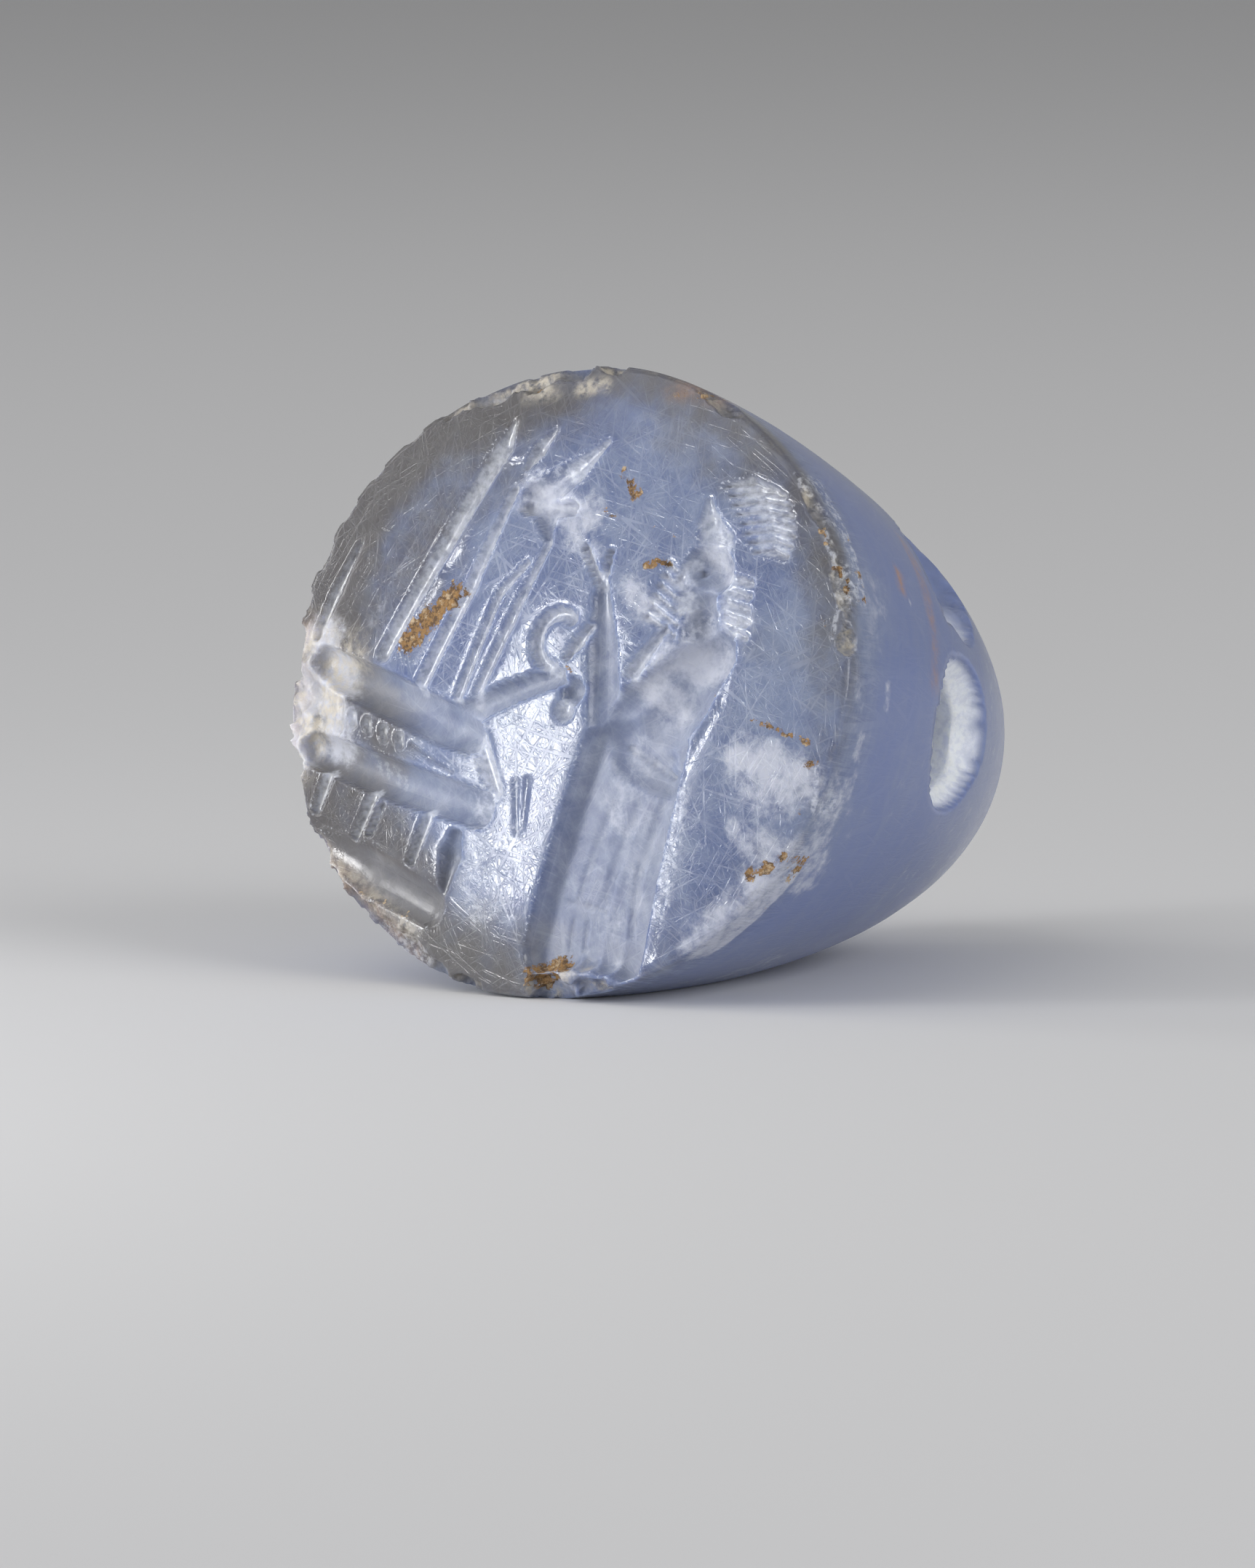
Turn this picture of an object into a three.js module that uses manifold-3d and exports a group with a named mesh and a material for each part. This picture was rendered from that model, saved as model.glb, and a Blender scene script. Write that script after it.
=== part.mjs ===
// Stamp seal: one pierced cone of pale blue chalcedony with a domed top, worn and chipped at the rim.
// Its slightly swollen oval face is engraved with a worshipper before a horned creature and two standards.
// The stone lies on its side. +Z is up, +Y runs from the engraved face to the dome, and +X is to the right
// of someone who looks at the face. Lengths are in millimetres and angles in degrees.
import * as THREE from 'three';
import { mergeVertices } from 'three/addons/utils/BufferGeometryUtils.js';
import Module from 'manifold-3d';

const wasm = await Module();
wasm.setup();

// The stone
const faceWidth = 23.5;
const faceHeight = 21.9;
const ovalTurn = 8;
const faceBulge = 1.2;
const rimSoftening = 0.22;
const stoneLength = 22.8;
const sideFullness = 1.38;
const domeFullness = 2.22;

// How it lies
const lyingTilt = 12;
const restFlatDepth = 0.35;

// The cord hole, drilled across from both sides
const boreDiameter = 3.8;
const boreStation = 10.5;
const boreMouthHeight = 5.8;
const boreMouthWidth = 6;
const boreMouthDepth = 1.8;
const farMouthShare = 0.8;

// The flake lost above the near mouth of the hole
const scarLength = 7.4;
const scarWidth = 5.2;
const scarDepth = 0.75;
const scarAngle = 34;
const scarSetBack = 1.6;
const scarLean = 22;

// Depths of the engraver's cuts
const fineCut = 0.16;
const lineCut = 0.3;
const limbCut = 0.5;
const deepCut = 0.75;

// Smoothness of the facets
const stoneSides = 50;
const sideRings = 13;
const faceRings = 3;
const broadCutSides = 9;
const narrowCutSides = 6;
const broadCutRadius = 0.55;
const boreSides = 20;

const halfWidth = faceWidth / 2;
const halfHeight = faceHeight / 2;
const radians = THREE.MathUtils.degToRad;

// A closed geometry becomes a solid once its seams are merged and its empty triangles are dropped
function solidOf(geometry) {
  const bare = geometry.clone();
  bare.deleteAttribute('normal');
  bare.deleteAttribute('uv');
  const merged = mergeVertices(bare, 1e-5);
  const corners = merged.index.array;
  const kept = [];
  for (let i = 0; i < corners.length; i += 3) {
    const [a, b, c] = [corners[i], corners[i + 1], corners[i + 2]];
    if (a !== b && b !== c && c !== a) kept.push(a, b, c);
  }
  return new wasm.Manifold(new wasm.Mesh({
    numProp: 3,
    vertProperties: new Float32Array(merged.attributes.position.array),
    triVerts: new Uint32Array(kept),
  }));
}

function geometryOf(solid) {
  const mesh = solid.getMesh();
  const geometry = new THREE.BufferGeometry();
  geometry.setAttribute('position', new THREE.BufferAttribute(new Float32Array(mesh.vertProperties), 3));
  geometry.setIndex(new THREE.BufferAttribute(new Uint32Array(mesh.triVerts), 1));
  geometry.computeVertexNormals();
  return geometry;
}

function place(geometry, position, turn = new THREE.Quaternion()) {
  return geometry.applyMatrix4(new THREE.Matrix4().compose(position, turn, new THREE.Vector3(1, 1, 1)));
}

// Radius of the stone, as a share of its radius at the rim, at a station from the rim's plane
function girthShare(station) {
  const along = THREE.MathUtils.clamp(station / stoneLength, 0, 1);
  return (1 - along ** sideFullness) ** (1 / domeFullness);
}

// Angle by which the stone's wall faces towards the dome at a station
function wallLean(station) {
  const step = rimSoftening;
  return Math.atan2(halfWidth * (girthShare(station - step) - girthShare(station + step)), 2 * step);
}

// Height of the swollen face behind the rim's plane, at a share of the radius
function faceStation(share) {
  return -faceBulge * Math.max(0, 1 - share * share);
}

// The stone before any cut: its outline turned about the +Y axis and widened to an oval
function blankStone() {
  const softShare = 1 - rimSoftening / halfHeight;
  const outline = [];
  for (let ring = 0; ring <= faceRings; ring += 1) {
    const share = softShare * (ring / faceRings);
    outline.push(new THREE.Vector2(halfHeight * share, faceStation(share)));
  }
  for (let ring = 0; ring <= sideRings; ring += 1) {
    const station = rimSoftening + (stoneLength - rimSoftening) * Math.sin((Math.PI / 2) * (ring / sideRings));
    outline.push(new THREE.Vector2(halfHeight * girthShare(station), station));
  }
  outline[outline.length - 1].x = 0;
  const geometry = new THREE.LatheGeometry(outline, stoneSides);
  geometry.scale(faceWidth / faceHeight, 1, 1);
  geometry.rotateY(-radians(ovalTurn));
  return solidOf(geometry);
}

// A point of the turned oval, at a share of its full size and an angle up from +X
function ovalPoint(angle, share, station) {
  const point = new THREE.Vector3(halfWidth * share * Math.cos(angle), station, halfHeight * share * Math.sin(angle));
  return point.applyAxisAngle(new THREE.Vector3(0, 1, 0), -radians(ovalTurn));
}

// The cord hole: a straight bore with a worn, oval, flaring mouth at each side
function cordHole() {
  const reach = faceWidth;
  const shaft = new THREE.CylinderGeometry(boreDiameter / 2, boreDiameter / 2, reach, boreSides);
  shaft.rotateZ(Math.PI / 2);
  shaft.translate(0, boreStation, 0);
  let hole = solidOf(shaft);
  const wall = halfWidth * girthShare(boreStation);
  for (const side of [1, -1]) {
    const size = side > 0 ? 1 : farMouthShare;
    const mouth = new THREE.SphereGeometry(1, 14, 7);
    mouth.scale(boreMouthDepth * size, (boreMouthWidth / 2) * size, (boreMouthHeight / 2) * size);
    mouth.rotateZ(side * wallLean(boreStation));
    mouth.translate(side * wall, boreStation, 0);
    hole = hole.add(solidOf(mouth));
  }
  return hole;
}

// The long shallow scar that runs up the stone from the near mouth of the cord hole
function flakeScar() {
  const station = boreStation + scarSetBack;
  const angle = radians(scarAngle);
  const girth = girthShare(station);
  const scar = new THREE.IcosahedronGeometry(1, 2);
  scar.scale(scarDepth, scarWidth / 2, scarLength / 2);
  scar.rotateX(-radians(scarLean));
  scar.rotateZ(wallLean(station));
  scar.rotateY(-angle - radians(ovalTurn));
  return solidOf(place(scar, ovalPoint(angle, girth, station)));
}

// Places on the face are given in hundredths of its half-width and half-height, from its middle.
// A cut's half-width is in hundredths of the half-width.
function cutCentre(across, up, halfSpan, depth) {
  const x = (across / 100) * halfWidth;
  const z = (up / 100) * halfHeight;
  const half = (halfSpan / 100) * halfWidth;
  const radius = (half * half + depth * depth) / (2 * depth);
  const share = Math.hypot(across, up) / 100;
  return { centre: new THREE.Vector3(x, faceStation(share) - radius + depth, z), radius };
}

// A round-ended rod that tapers from one radius to another
function rodBetween(start, end) {
  const run = end.centre.clone().sub(start.centre);
  const length = run.length();
  const broad = Math.max(start.radius, end.radius) > broadCutRadius;
  const capSteps = broad ? 3 : 1;
  const outline = [];
  for (let step = 0; step <= capSteps; step += 1) {
    const turn = (Math.PI / 2) * (step / capSteps);
    outline.push(new THREE.Vector2(start.radius * Math.sin(turn), -start.radius * Math.cos(turn)));
  }
  for (let step = capSteps; step >= 0; step -= 1) {
    const turn = (Math.PI / 2) * (step / capSteps);
    outline.push(new THREE.Vector2(end.radius * Math.sin(turn), length + end.radius * Math.cos(turn)));
  }
  const turn = new THREE.Quaternion().setFromUnitVectors(new THREE.Vector3(0, 1, 0), run.normalize());
  return solidOf(place(new THREE.LatheGeometry(outline, broad ? broadCutSides : narrowCutSides), start.centre, turn));
}

// A groove through points of [across, up, half-width], one tapering rod to each stretch
function groove(depth, ...points) {
  const cuts = points.map(([across, up, halfSpan, ownDepth = depth]) => cutCentre(across, up, halfSpan, ownDepth));
  return cuts.slice(1).map((end, index) => rodBetween(cuts[index], end));
}

// The hollow that a round drill leaves
function drilled(across, up, halfSpan, depth) {
  const { centre, radius } = cutCentre(across, up, halfSpan, depth);
  return [solidOf(place(new THREE.IcosahedronGeometry(radius, radius > broadCutRadius ? 2 : 1), centre))];
}

// Equal strokes spread between a first and a last one, each given as [across, up] at its two ends
function strokeRow(count, depth, halfSpan, first, last) {
  const strokes = [];
  for (let index = 0; index < count; index += 1) {
    const share = index / (count - 1);
    const mix = (from, to) => from.map((value, axis) => THREE.MathUtils.lerp(value, to[axis], share));
    const [tail, tip] = [mix(first[0], last[0]), mix(first[1], last[1])];
    strokes.push(...groove(depth, [...tail, halfSpan], [...tip, halfSpan * 0.6]));
  }
  return strokes;
}

// The spade standard: two long shafts with pointed tips
function spadeStandard() {
  return [
    ...groove(lineCut, [-26, 80, 0.8, fineCut / 2], [-28, 72, 3.4], [-44, 38, 3.2], [-61, 4, 2.6]),
    ...groove(lineCut, [-10, 78, 0.8, fineCut / 2], [-15, 71, 2.6], [-18, 66, 1.4]),
    ...groove(lineCut, [-21, 58, 1.6], [-31, 27, 2.8], [-45, -6, 2.6]),
  ];
}

// The stylus standard: a wedge-shaped head under a broad slanting cut, on a double shaft
function stylusStandard() {
  return [
    ...groove(limbCut, [9.5, 75, 0.8, fineCut], [0, 65, 4, lineCut], [-12, 56, 6]),
    ...groove(limbCut, [-15, 53, 2.4], [1, 53, 2.4]),
    ...groove(limbCut, [-8, 52, 5], [-5, 42, 1.2, fineCut]),
    ...groove(fineCut, [-4.5, 42, 1.2], [-14, 16, 1.8], [-24, -10, 1.8]),
    ...groove(fineCut, [-11, 35, 1], [-19.5, 25, 1.4], [-30, -9, 1.8]),
  ];
}

// The horned creature: body, legs, neck, curled horn, ear, snout and raised tail
function hornedCreature() {
  const hornTurn = 6;
  const horn = [];
  for (let step = 0; step <= hornTurn; step += 1) {
    const angle = radians(-95 - 205 * (step / hornTurn));
    horn.push([4 + 7.6 * Math.cos(angle), 11 + 8.6 * Math.sin(angle), 2.2]);
  }
  return [
    ...groove(deepCut, [-85, 0, 5.6], [-58, -9, 7], [-35, -17, 7], [-25, -20, 6]),
    ...groove(limbCut, [-27, -16, 4], [-11, -8, 3.4], [5, 0, 3.2]),
    ...groove(lineCut, ...horn),
    ...groove(lineCut, [8, 6.5, 1.2], [11, 11, 2.2], [14, 16, 1]),
    ...drilled(11, -4.5, 4.3, limbCut),
    ...drilled(9, -10.5, 3.7, lineCut),
    ...groove(lineCut, [-20, -22, 3.4], [-13, -37, 3]),
    ...groove(lineCut, [-78, 39, 1], [-84, 24, 2.2], [-89.5, 9, 1.6]),
    ...strokeRow(4, lineCut, 1.8, [[-71, -16], [-70, -19]], [[-51, -22], [-50, -25]]),
  ];
}

// The podium: two broad bars with upright strokes between them
function podium() {
  return [
    ...groove(deepCut, [-86, -27, 5.6], [-52, -36, 6.4], [-19, -43, 6]),
    ...groove(limbCut, [-76, -58, 2.4, fineCut], [-60, -64, 5], [-33, -74, 4.4]),
    ...groove(lineCut, [-78.5, -36, 2.4], [-82.5, -46, 1.8]),
    ...groove(lineCut, [-59.5, -41, 2], [-65.5, -54, 1.6]),
    ...groove(lineCut, [-56, -44, 1.4], [-60, -53, 1.2]),
    ...groove(lineCut, [-37.5, -46.5, 2.2], [-43, -61, 1.6]),
    ...groove(limbCut, [-26.5, -52, 2.4, lineCut], [-28, -58, 4], [-31, -72, 1, fineCut]),
    ...strokeRow(2, fineCut, 1.7, [[-5.5, -32], [-4, -49]], [[0.5, -33], [-1.5, -49]]),
  ];
}

// The worshipper's long robe: neighbouring folds that widen from the belt to the hem
function robe() {
  const folds = 5;
  const foldHalf = 5.2;
  const belt = { across: 34.5, up: -19, half: 17.5 };
  const hem = { across: 20, up: -84, half: 20.5 };
  const cuts = [];
  for (let fold = 0; fold < folds; fold += 1) {
    const spread = (2 * fold) / (folds - 1) - 1;
    const top = [belt.across + spread * (belt.half - foldHalf), belt.up, foldHalf];
    const foot = [hem.across + spread * (hem.half - foldHalf), hem.up - 2 * spread * spread, foldHalf];
    const middle = [(top[0] + foot[0]) / 2, (top[1] + foot[1]) / 2, foldHalf];
    cuts.push(...groove(deepCut, top, middle, foot));
  }
  return cuts;
}

// Shoulder, arms and raised hands
function armsAndShoulder() {
  return [
    ...groove(deepCut + lineCut, [55, 10, 9], [47, -3, 11], [37, -16, 13]),
    ...groove(deepCut, [58, 13, 5], [44, 2, 6], [27, -11, 6]),
    ...groove(limbCut, [16.5, 29, 2.4, lineCut], [19.5, 10, 5.2], [23, -12, 6]),
    ...groove(lineCut, [8.5, 41, 1.2], [16, 29, 1.6]),
    ...groove(lineCut, [17.5, 40, 1.2], [16.5, 29, 1.6]),
    ...groove(lineCut, [39.5, 17, 1.4], [31, 3, 2.6]),
    ...strokeRow(2, deepCut + lineCut + fineCut, 9, [[28, -20], [42, -26]], [[29, -24], [43, -30]]),
  ];
}

// A plain bearded head in profile: skull, cheek, brow to chin, beard, nape locks and a fan of hair
function head() {
  const fanStrokes = 6;
  const fan = [];
  for (let index = 0; index < fanStrokes; index += 1) {
    const share = index / (fanStrokes - 1);
    const angle = radians(62 - 76 * share);
    const root = [51 + 14 * share, 63 - 20 * share, 1.6];
    fan.push(...groove(lineCut, root, [58 + 19 * Math.cos(angle), 47 + 18 * Math.sin(angle), 2.4]));
  }
  return [
    ...drilled(51, 36, 8.5, deepCut),
    ...drilled(48, 28, 7, limbCut),
    ...drilled(44, 25, 3, lineCut),
    ...groove(lineCut, [45, 38, 1.6], [41.5, 33, 1.4], [43.5, 31, 1.2]),
    ...groove(lineCut, [47, 54, 1.4], [50, 46, 3.4], [57, 44, 3]),
    ...groove(deepCut, [50, 26, 5], [51, 17, 6]),
    ...strokeRow(5, lineCut, 1.8, [[44, 33], [50, 29]], [[39, 20], [46, 17]]),
    ...strokeRow(4, lineCut, 1.8, [[58, 35], [65, 36]], [[58, 21], [67, 18]]),
    ...fan,
  ];
}

// A flake struck from the rim, as an uneven many-sided lump that bites across the edge. The angle runs
// up from +X, lean tips the lump towards the face, and share moves it in from the rim.
function rimFlake(angleDegrees, halfLength, bite, depth, { lean = 0, share = 1, station = 0, detail = 1 } = {}) {
  const angle = radians(angleDegrees);
  const lump = new THREE.IcosahedronGeometry(1, detail);
  lump.rotateY(angle * 7);
  lump.scale(bite, depth, halfLength);
  lump.rotateZ(radians(lean));
  lump.rotateY(-angle - radians(ovalTurn));
  return solidOf(place(lump, ovalPoint(angle, share, station)));
}

// Wear along the rim: the great flake at the left, the pit below, and runs of smaller chips
function rimWear() {
  const cuts = [
    rimFlake(181, 2.6, 2.1, 0.9, { lean: 14, share: 0.9, station: -0.75, detail: 2 }),
    rimFlake(170, 1.4, 0.7, 0.9, { lean: 10 }),
    rimFlake(194, 1.8, 0.5, 0.8, { lean: -8 }),
    rimFlake(-92, 1, 0.8, 0.9),
    rimFlake(-84, 0.8, 0.55, 0.6),
    rimFlake(56, 1, 0.5, 0.5),
    rimFlake(28, 1.1, 0.35, 0.5),
    rimFlake(12, 1.5, 0.4, 0.7),
    rimFlake(1, 0.6, 0.45, 0.5),
  ];
  const runs = [
    { from: 80, to: 104, count: 4, size: 0.62 },
    { from: 114, to: 160, count: 6, size: 0.45 },
    { from: 207, to: 250, count: 7, size: 0.62 },
  ];
  for (const { from, to, count, size } of runs) {
    for (let index = 0; index < count; index += 1) {
      const swell = 1 + 0.35 * Math.sin(5 * index + from);
      const angle = THREE.MathUtils.lerp(from, to, index / (count - 1));
      cuts.push(rimFlake(angle, 1.9 * size * swell, size * swell, size, { lean: 12 * swell, detail: 0 }));
    }
  }
  return cuts;
}

// Lowest level of the tilted stone, measured from the middle of the rim along the upright
function lowestLevel() {
  const tilt = radians(lyingTilt);
  let lowest = 0;
  for (let step = 0; step <= 400; step += 1) {
    const station = stoneLength * (step / 400);
    const level = -station * Math.sin(tilt) - halfHeight * girthShare(station) * Math.cos(tilt);
    lowest = Math.min(lowest, level);
  }
  return lowest;
}

// The small worn flat on which the stone lies, as a block that takes away all below it
function ground(level) {
  const deep = stoneLength;
  const block = new THREE.BoxGeometry(2 * faceWidth, 4 * stoneLength, deep);
  block.translate(0, 0, level - deep / 2);
  block.rotateX(radians(lyingTilt));
  return solidOf(block);
}

const flatLevel = lowestLevel() + restFlatDepth;
const cuts = [
  cordHole(),
  flakeScar(),
  ...robe(),
  ...armsAndShoulder(),
  ...head(),
  ...spadeStandard(),
  ...stylusStandard(),
  ...hornedCreature(),
  ...podium(),
  ...rimWear(),
  ground(flatLevel),
];
const carved = cuts.reduce((whole, cut) => whole.subtract(cut), blankStone());

// Splinters that the cuts leave standing free are lost, and the largest piece is the stone
const [stone] = carved.decompose().sort((one, other) => other.volume() - one.volume());

const chalcedony = new THREE.MeshStandardMaterial({ color: 0x8f9bbd, roughness: 0.22, metalness: 0 });
const seal = new THREE.Mesh(geometryOf(stone), chalcedony);
seal.name = 'seal_stone';

// The stone is tipped so that the dome end hangs lower, then set with its flat on the ground,
// and the middle of its outer box over the origin
const lying = new THREE.Group();
lying.add(seal);
lying.rotation.x = radians(-lyingTilt);
lying.updateMatrixWorld(true);
const extent = new THREE.Box3().setFromObject(lying, true);
lying.position.set(-(extent.min.x + extent.max.x) / 2, -(extent.min.y + extent.max.y) / 2, -flatLevel);

const group = new THREE.Group();
group.add(lying);

export default group;
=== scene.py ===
"""The dressed stamp seal: a pierced cone of pale blue chalcedony that lies on its side on a pale floor.

The stone's own frame is in millimetres: across to the right of someone who looks at the engraved
face, station from the rim's plane into the stone, and up the face. The finished mesh is in metres,
in the row frame.
"""
import logging
import math
from dataclasses import dataclass, field
from enum import Enum

import bpy
import numpy as np
from mathutils import Matrix, Vector


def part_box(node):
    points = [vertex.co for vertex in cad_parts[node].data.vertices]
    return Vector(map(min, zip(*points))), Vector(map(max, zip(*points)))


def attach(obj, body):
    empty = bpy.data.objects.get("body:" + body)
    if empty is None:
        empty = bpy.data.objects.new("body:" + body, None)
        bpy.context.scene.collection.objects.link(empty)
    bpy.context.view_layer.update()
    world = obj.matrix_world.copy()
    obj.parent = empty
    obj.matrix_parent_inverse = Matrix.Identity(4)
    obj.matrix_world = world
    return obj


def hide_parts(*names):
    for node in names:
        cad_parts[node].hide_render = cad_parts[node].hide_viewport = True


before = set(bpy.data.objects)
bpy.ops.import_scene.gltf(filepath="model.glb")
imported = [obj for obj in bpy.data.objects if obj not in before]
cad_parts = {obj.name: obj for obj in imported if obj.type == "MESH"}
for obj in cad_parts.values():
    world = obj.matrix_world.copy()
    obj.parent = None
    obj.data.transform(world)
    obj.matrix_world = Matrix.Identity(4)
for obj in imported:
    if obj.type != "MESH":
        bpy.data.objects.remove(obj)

LOG = logging.getLogger("stamp_seal")
MILLIMETRE = 0.001
# the stone's own frame: what is cut or stained on the face ends this far behind the rim
FACE_REACH = 1.6
# the way into the stone, square to its face
INTO_STONE = np.array([[0.0, 1.0, 0.0]])
# the grain's random values, and the strides that scatter its lattice points over them
GRAIN_VALUES = 4096
GRAIN_STRIDES = (73856093, 19349663, 83492791)
Array = np.ndarray
Triple = tuple[float, float, float]
Faces = list[tuple[int, ...]]
Stroke = tuple[tuple[float, float], tuple[float, float]]


def smooth_step(low: float, high: float, value: Array) -> Array:
    """Rises from 0 at low to 1 at high with level ends: 3s^2 - 2s^3 of the share s between them."""
    share = np.clip((value - low) / (high - low), 0, 1)
    return share * share * (3 - 2 * share)


def soft_max(one: Array, other: Array, blend: float) -> Array:
    """The larger of two fields, with the crease between them rounded over the width blend.

    Args:
        one: The first field.
        other: The second field, or a number.
        blend: The difference below which the two are blended.

    Returns:
        The larger value plus a quarter of blend times the squared nearness of the two.
    """
    near = np.maximum(blend - np.abs(one - other), 0) / blend
    return np.maximum(one, other) + near * near * blend / 4


def grain(points: Array, spacing: float, seed: int) -> Array:
    """Smooth random values from -1 to 1 at points in space.

    Args:
        points: Rows of three coordinates.
        spacing: Distance between the lattice points that hold the random values.
        seed: Which set of random values is used.

    Returns:
        The lattice values around each point, blended along the three axes with a smooth step.
    """
    table = np.random.default_rng(seed).uniform(-1, 1, GRAIN_VALUES)
    scaled = points / spacing
    corner = np.floor(scaled).astype(np.int64)
    share = scaled - corner
    share = share * share * (3 - 2 * share)
    total = np.zeros(len(points))
    for step in range(8):
        offset = np.array([step & 1, (step >> 1) & 1, (step >> 2) & 1])
        cell = corner + offset
        mixed = cell * GRAIN_STRIDES
        slot = (mixed[:, 0] ^ mixed[:, 1] ^ mixed[:, 2]) & (GRAIN_VALUES - 1)
        weight = np.prod(np.where(offset == 1, share, 1 - share), axis=1)
        total += weight * table[slot]
    return total


def layered_grain(points: Array, spacing: float, seed: int, layers: int = 3) -> Array:
    """Grain summed over layers, each with half the spacing and half the strength of the one before."""
    return sum(grain(points, spacing / 2**layer, seed + layer) / 2**layer for layer in range(layers))


def capsule_distance(points: Array, start: Array, end: Array) -> Array:
    """Distance of each point from the straight line between two ends."""
    run = end - start
    length = max(float(run @ run), 1e-9)
    share = np.clip(((points - start) @ run) / length, 0, 1)
    return np.linalg.norm(points - start - share[:, None] * run, axis=1)


def towards_axis(across: Array, up: Array) -> Array:
    """Rows of unit directions from places of the stone straight to its axis."""
    way = np.stack([-across, np.zeros_like(across), -up], axis=1)
    return way / np.maximum(np.linalg.norm(way, axis=1), 1e-6)[:, None]


def direction(azimuth: float, elevation: float) -> Vector:
    """Unit direction from the stone, in degrees to the right of the face's front and above the floor."""
    turn, lift = math.radians(azimuth), math.radians(elevation)
    return Vector((math.sin(turn) * math.cos(lift), -math.cos(turn) * math.cos(lift), math.sin(lift)))


def mesh_of(name: str, points: Array, faces: Faces) -> bpy.types.Mesh:
    """A mesh from points in metres and faces."""
    mesh = bpy.data.meshes.new(name)
    mesh.from_pydata(points.tolist(), [], faces)
    return mesh


def placed(name: str, data: bpy.types.ID) -> bpy.types.Object:
    """A new object of the scene with the given mesh, lamp or camera."""
    made = bpy.data.objects.new(name, data)
    bpy.context.scene.collection.objects.link(made)
    return made


@dataclass(frozen=True)
class StoneForm:
    """The uncut stone: a slightly swollen oval face, a rim, and a wall that runs round into a dome.

    Lengths are in millimetres and angles in degrees.
    """

    face_width: float = 23.5
    face_height: float = 21.9
    oval_turn: float = 8
    face_bulge: float = 1.2
    rim_softening: float = 0.22
    length: float = 22.8
    side_fullness: float = 1.38
    dome_fullness: float = 2.22
    lying_tilt: float = 12
    rest_flat_depth: float = 0.35

    @property
    def half_width(self) -> float:
        """Half the width of the face."""
        return self.face_width / 2

    @property
    def half_height(self) -> float:
        """Half the height of the face."""
        return self.face_height / 2

    def girth_share(self, station: Array) -> Array:
        """Radius at a station as a share of the rim's: (1 - t^side_fullness)^(1/dome_fullness)."""
        along = np.clip(np.asarray(station, float) / self.length, 0, 1)
        return (1 - along**self.side_fullness) ** (1 / self.dome_fullness)

    def wall_lean(self, station: float) -> float:
        """Angle by which the wall faces towards the dome at a station, from the slope of the outline."""
        step = self.rim_softening
        drop = self.girth_share(station - step) - self.girth_share(station + step)
        return math.atan2(self.half_width * float(drop), 2 * step)

    def face_station(self, share: Array) -> Array:
        """Station of the swollen face at a share of its radius: -bulge (1 - share^2)."""
        return -self.face_bulge * np.maximum(0, 1 - np.square(share))

    def turned(self, across: Array, up: Array, way: int = 1) -> tuple[Array, Array]:
        """Across and up turned about the stone's axis as the oval is, or back where the way is -1."""
        turn = math.radians(self.oval_turn) * way
        return (
            across * math.cos(turn) - up * math.sin(turn),
            across * math.sin(turn) + up * math.cos(turn),
        )

    def oval_point(self, degrees: float, share: float, station: float) -> Array:
        """A point of the turned oval, at an angle up from the right and a share of its full size."""
        angle = math.radians(degrees)
        across, up = self.turned(
            self.half_width * share * math.cos(angle), self.half_height * share * math.sin(angle)
        )
        return np.array([across, station, up])

    def flat_level(self) -> float:
        """Level of the worn flat, from the middle of the rim along the upright of the lying stone."""
        tilt = math.radians(self.lying_tilt)
        station = np.linspace(0, self.length, 401)
        level = -station * math.sin(tilt) - self.half_height * self.girth_share(station) * math.cos(tilt)
        return float(level.min()) + self.rest_flat_depth

    def tipped(self, points: Array, degrees: float) -> Array:
        """Points turned about the across axis, which lowers the dome where the angle is above 0."""
        turn = math.radians(degrees)
        across, station, up = points.T
        along = station * math.cos(turn) + up * math.sin(turn)
        level = up * math.cos(turn) - station * math.sin(turn)
        return np.stack([across, along, level], axis=1)

    def laid(self, points: Array) -> Array:
        """Points tipped by the lying tilt and raised so that the worn flat is at level 0."""
        return self.tipped(points, self.lying_tilt) - [0, 0, self.flat_level()]

    def unlaid(self, points: Array) -> Array:
        """The way back from laid points to the stone's own frame."""
        return self.tipped(points + [0, 0, self.flat_level()], -self.lying_tilt)


class Tool(Enum):
    """The engraver's tools, by the section of the groove that each one leaves."""

    ROUND = "round"
    FLAT = "flat"
    KEEN = "keen"


@dataclass(frozen=True)
class Cut:
    """One pass of a tool between two ends, which are across, up, half-width and depth in millimetres."""

    start: tuple[float, float, float, float]
    end: tuple[float, float, float, float]
    tool: Tool = Tool.ROUND

    def depth(self, across: Array, up: Array) -> Array:
        """Depth that the pass leaves at places on the face, and below zero the distance outside it.

        A round tool leaves the arc of a circle through both edges, a flat one depth (1 - s^4) and a keen
        one depth (1 - s), where s is the distance from the pass over its half-width.

        Args:
            across: Places to the right of the middle.
            up: Places above the middle.

        Returns:
            The depth at each place.
        """
        tail = np.array(self.start)
        run = np.array(self.end) - tail
        length = max(float(run[:2] @ run[:2]), 1e-9)
        share = np.clip(((across - tail[0]) * run[0] + (up - tail[1]) * run[1]) / length, 0, 1)
        away = np.hypot(across - tail[0] - share * run[0], up - tail[1] - share * run[1])
        half = tail[2] + share * run[2]
        deep = tail[3] + share * run[3]
        outside = half - away
        if self.tool is Tool.FLAT:
            inside = deep * (1 - np.minimum(away / half, 1) ** 4)
        elif self.tool is Tool.KEEN:
            inside = deep * (1 - away / half)
        else:
            radius = (half * half + deep * deep) / (2 * deep)
            inside = np.sqrt(np.maximum(radius * radius - away * away, 0)) - radius + deep
        return np.where(away < half, inside, outside)


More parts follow.
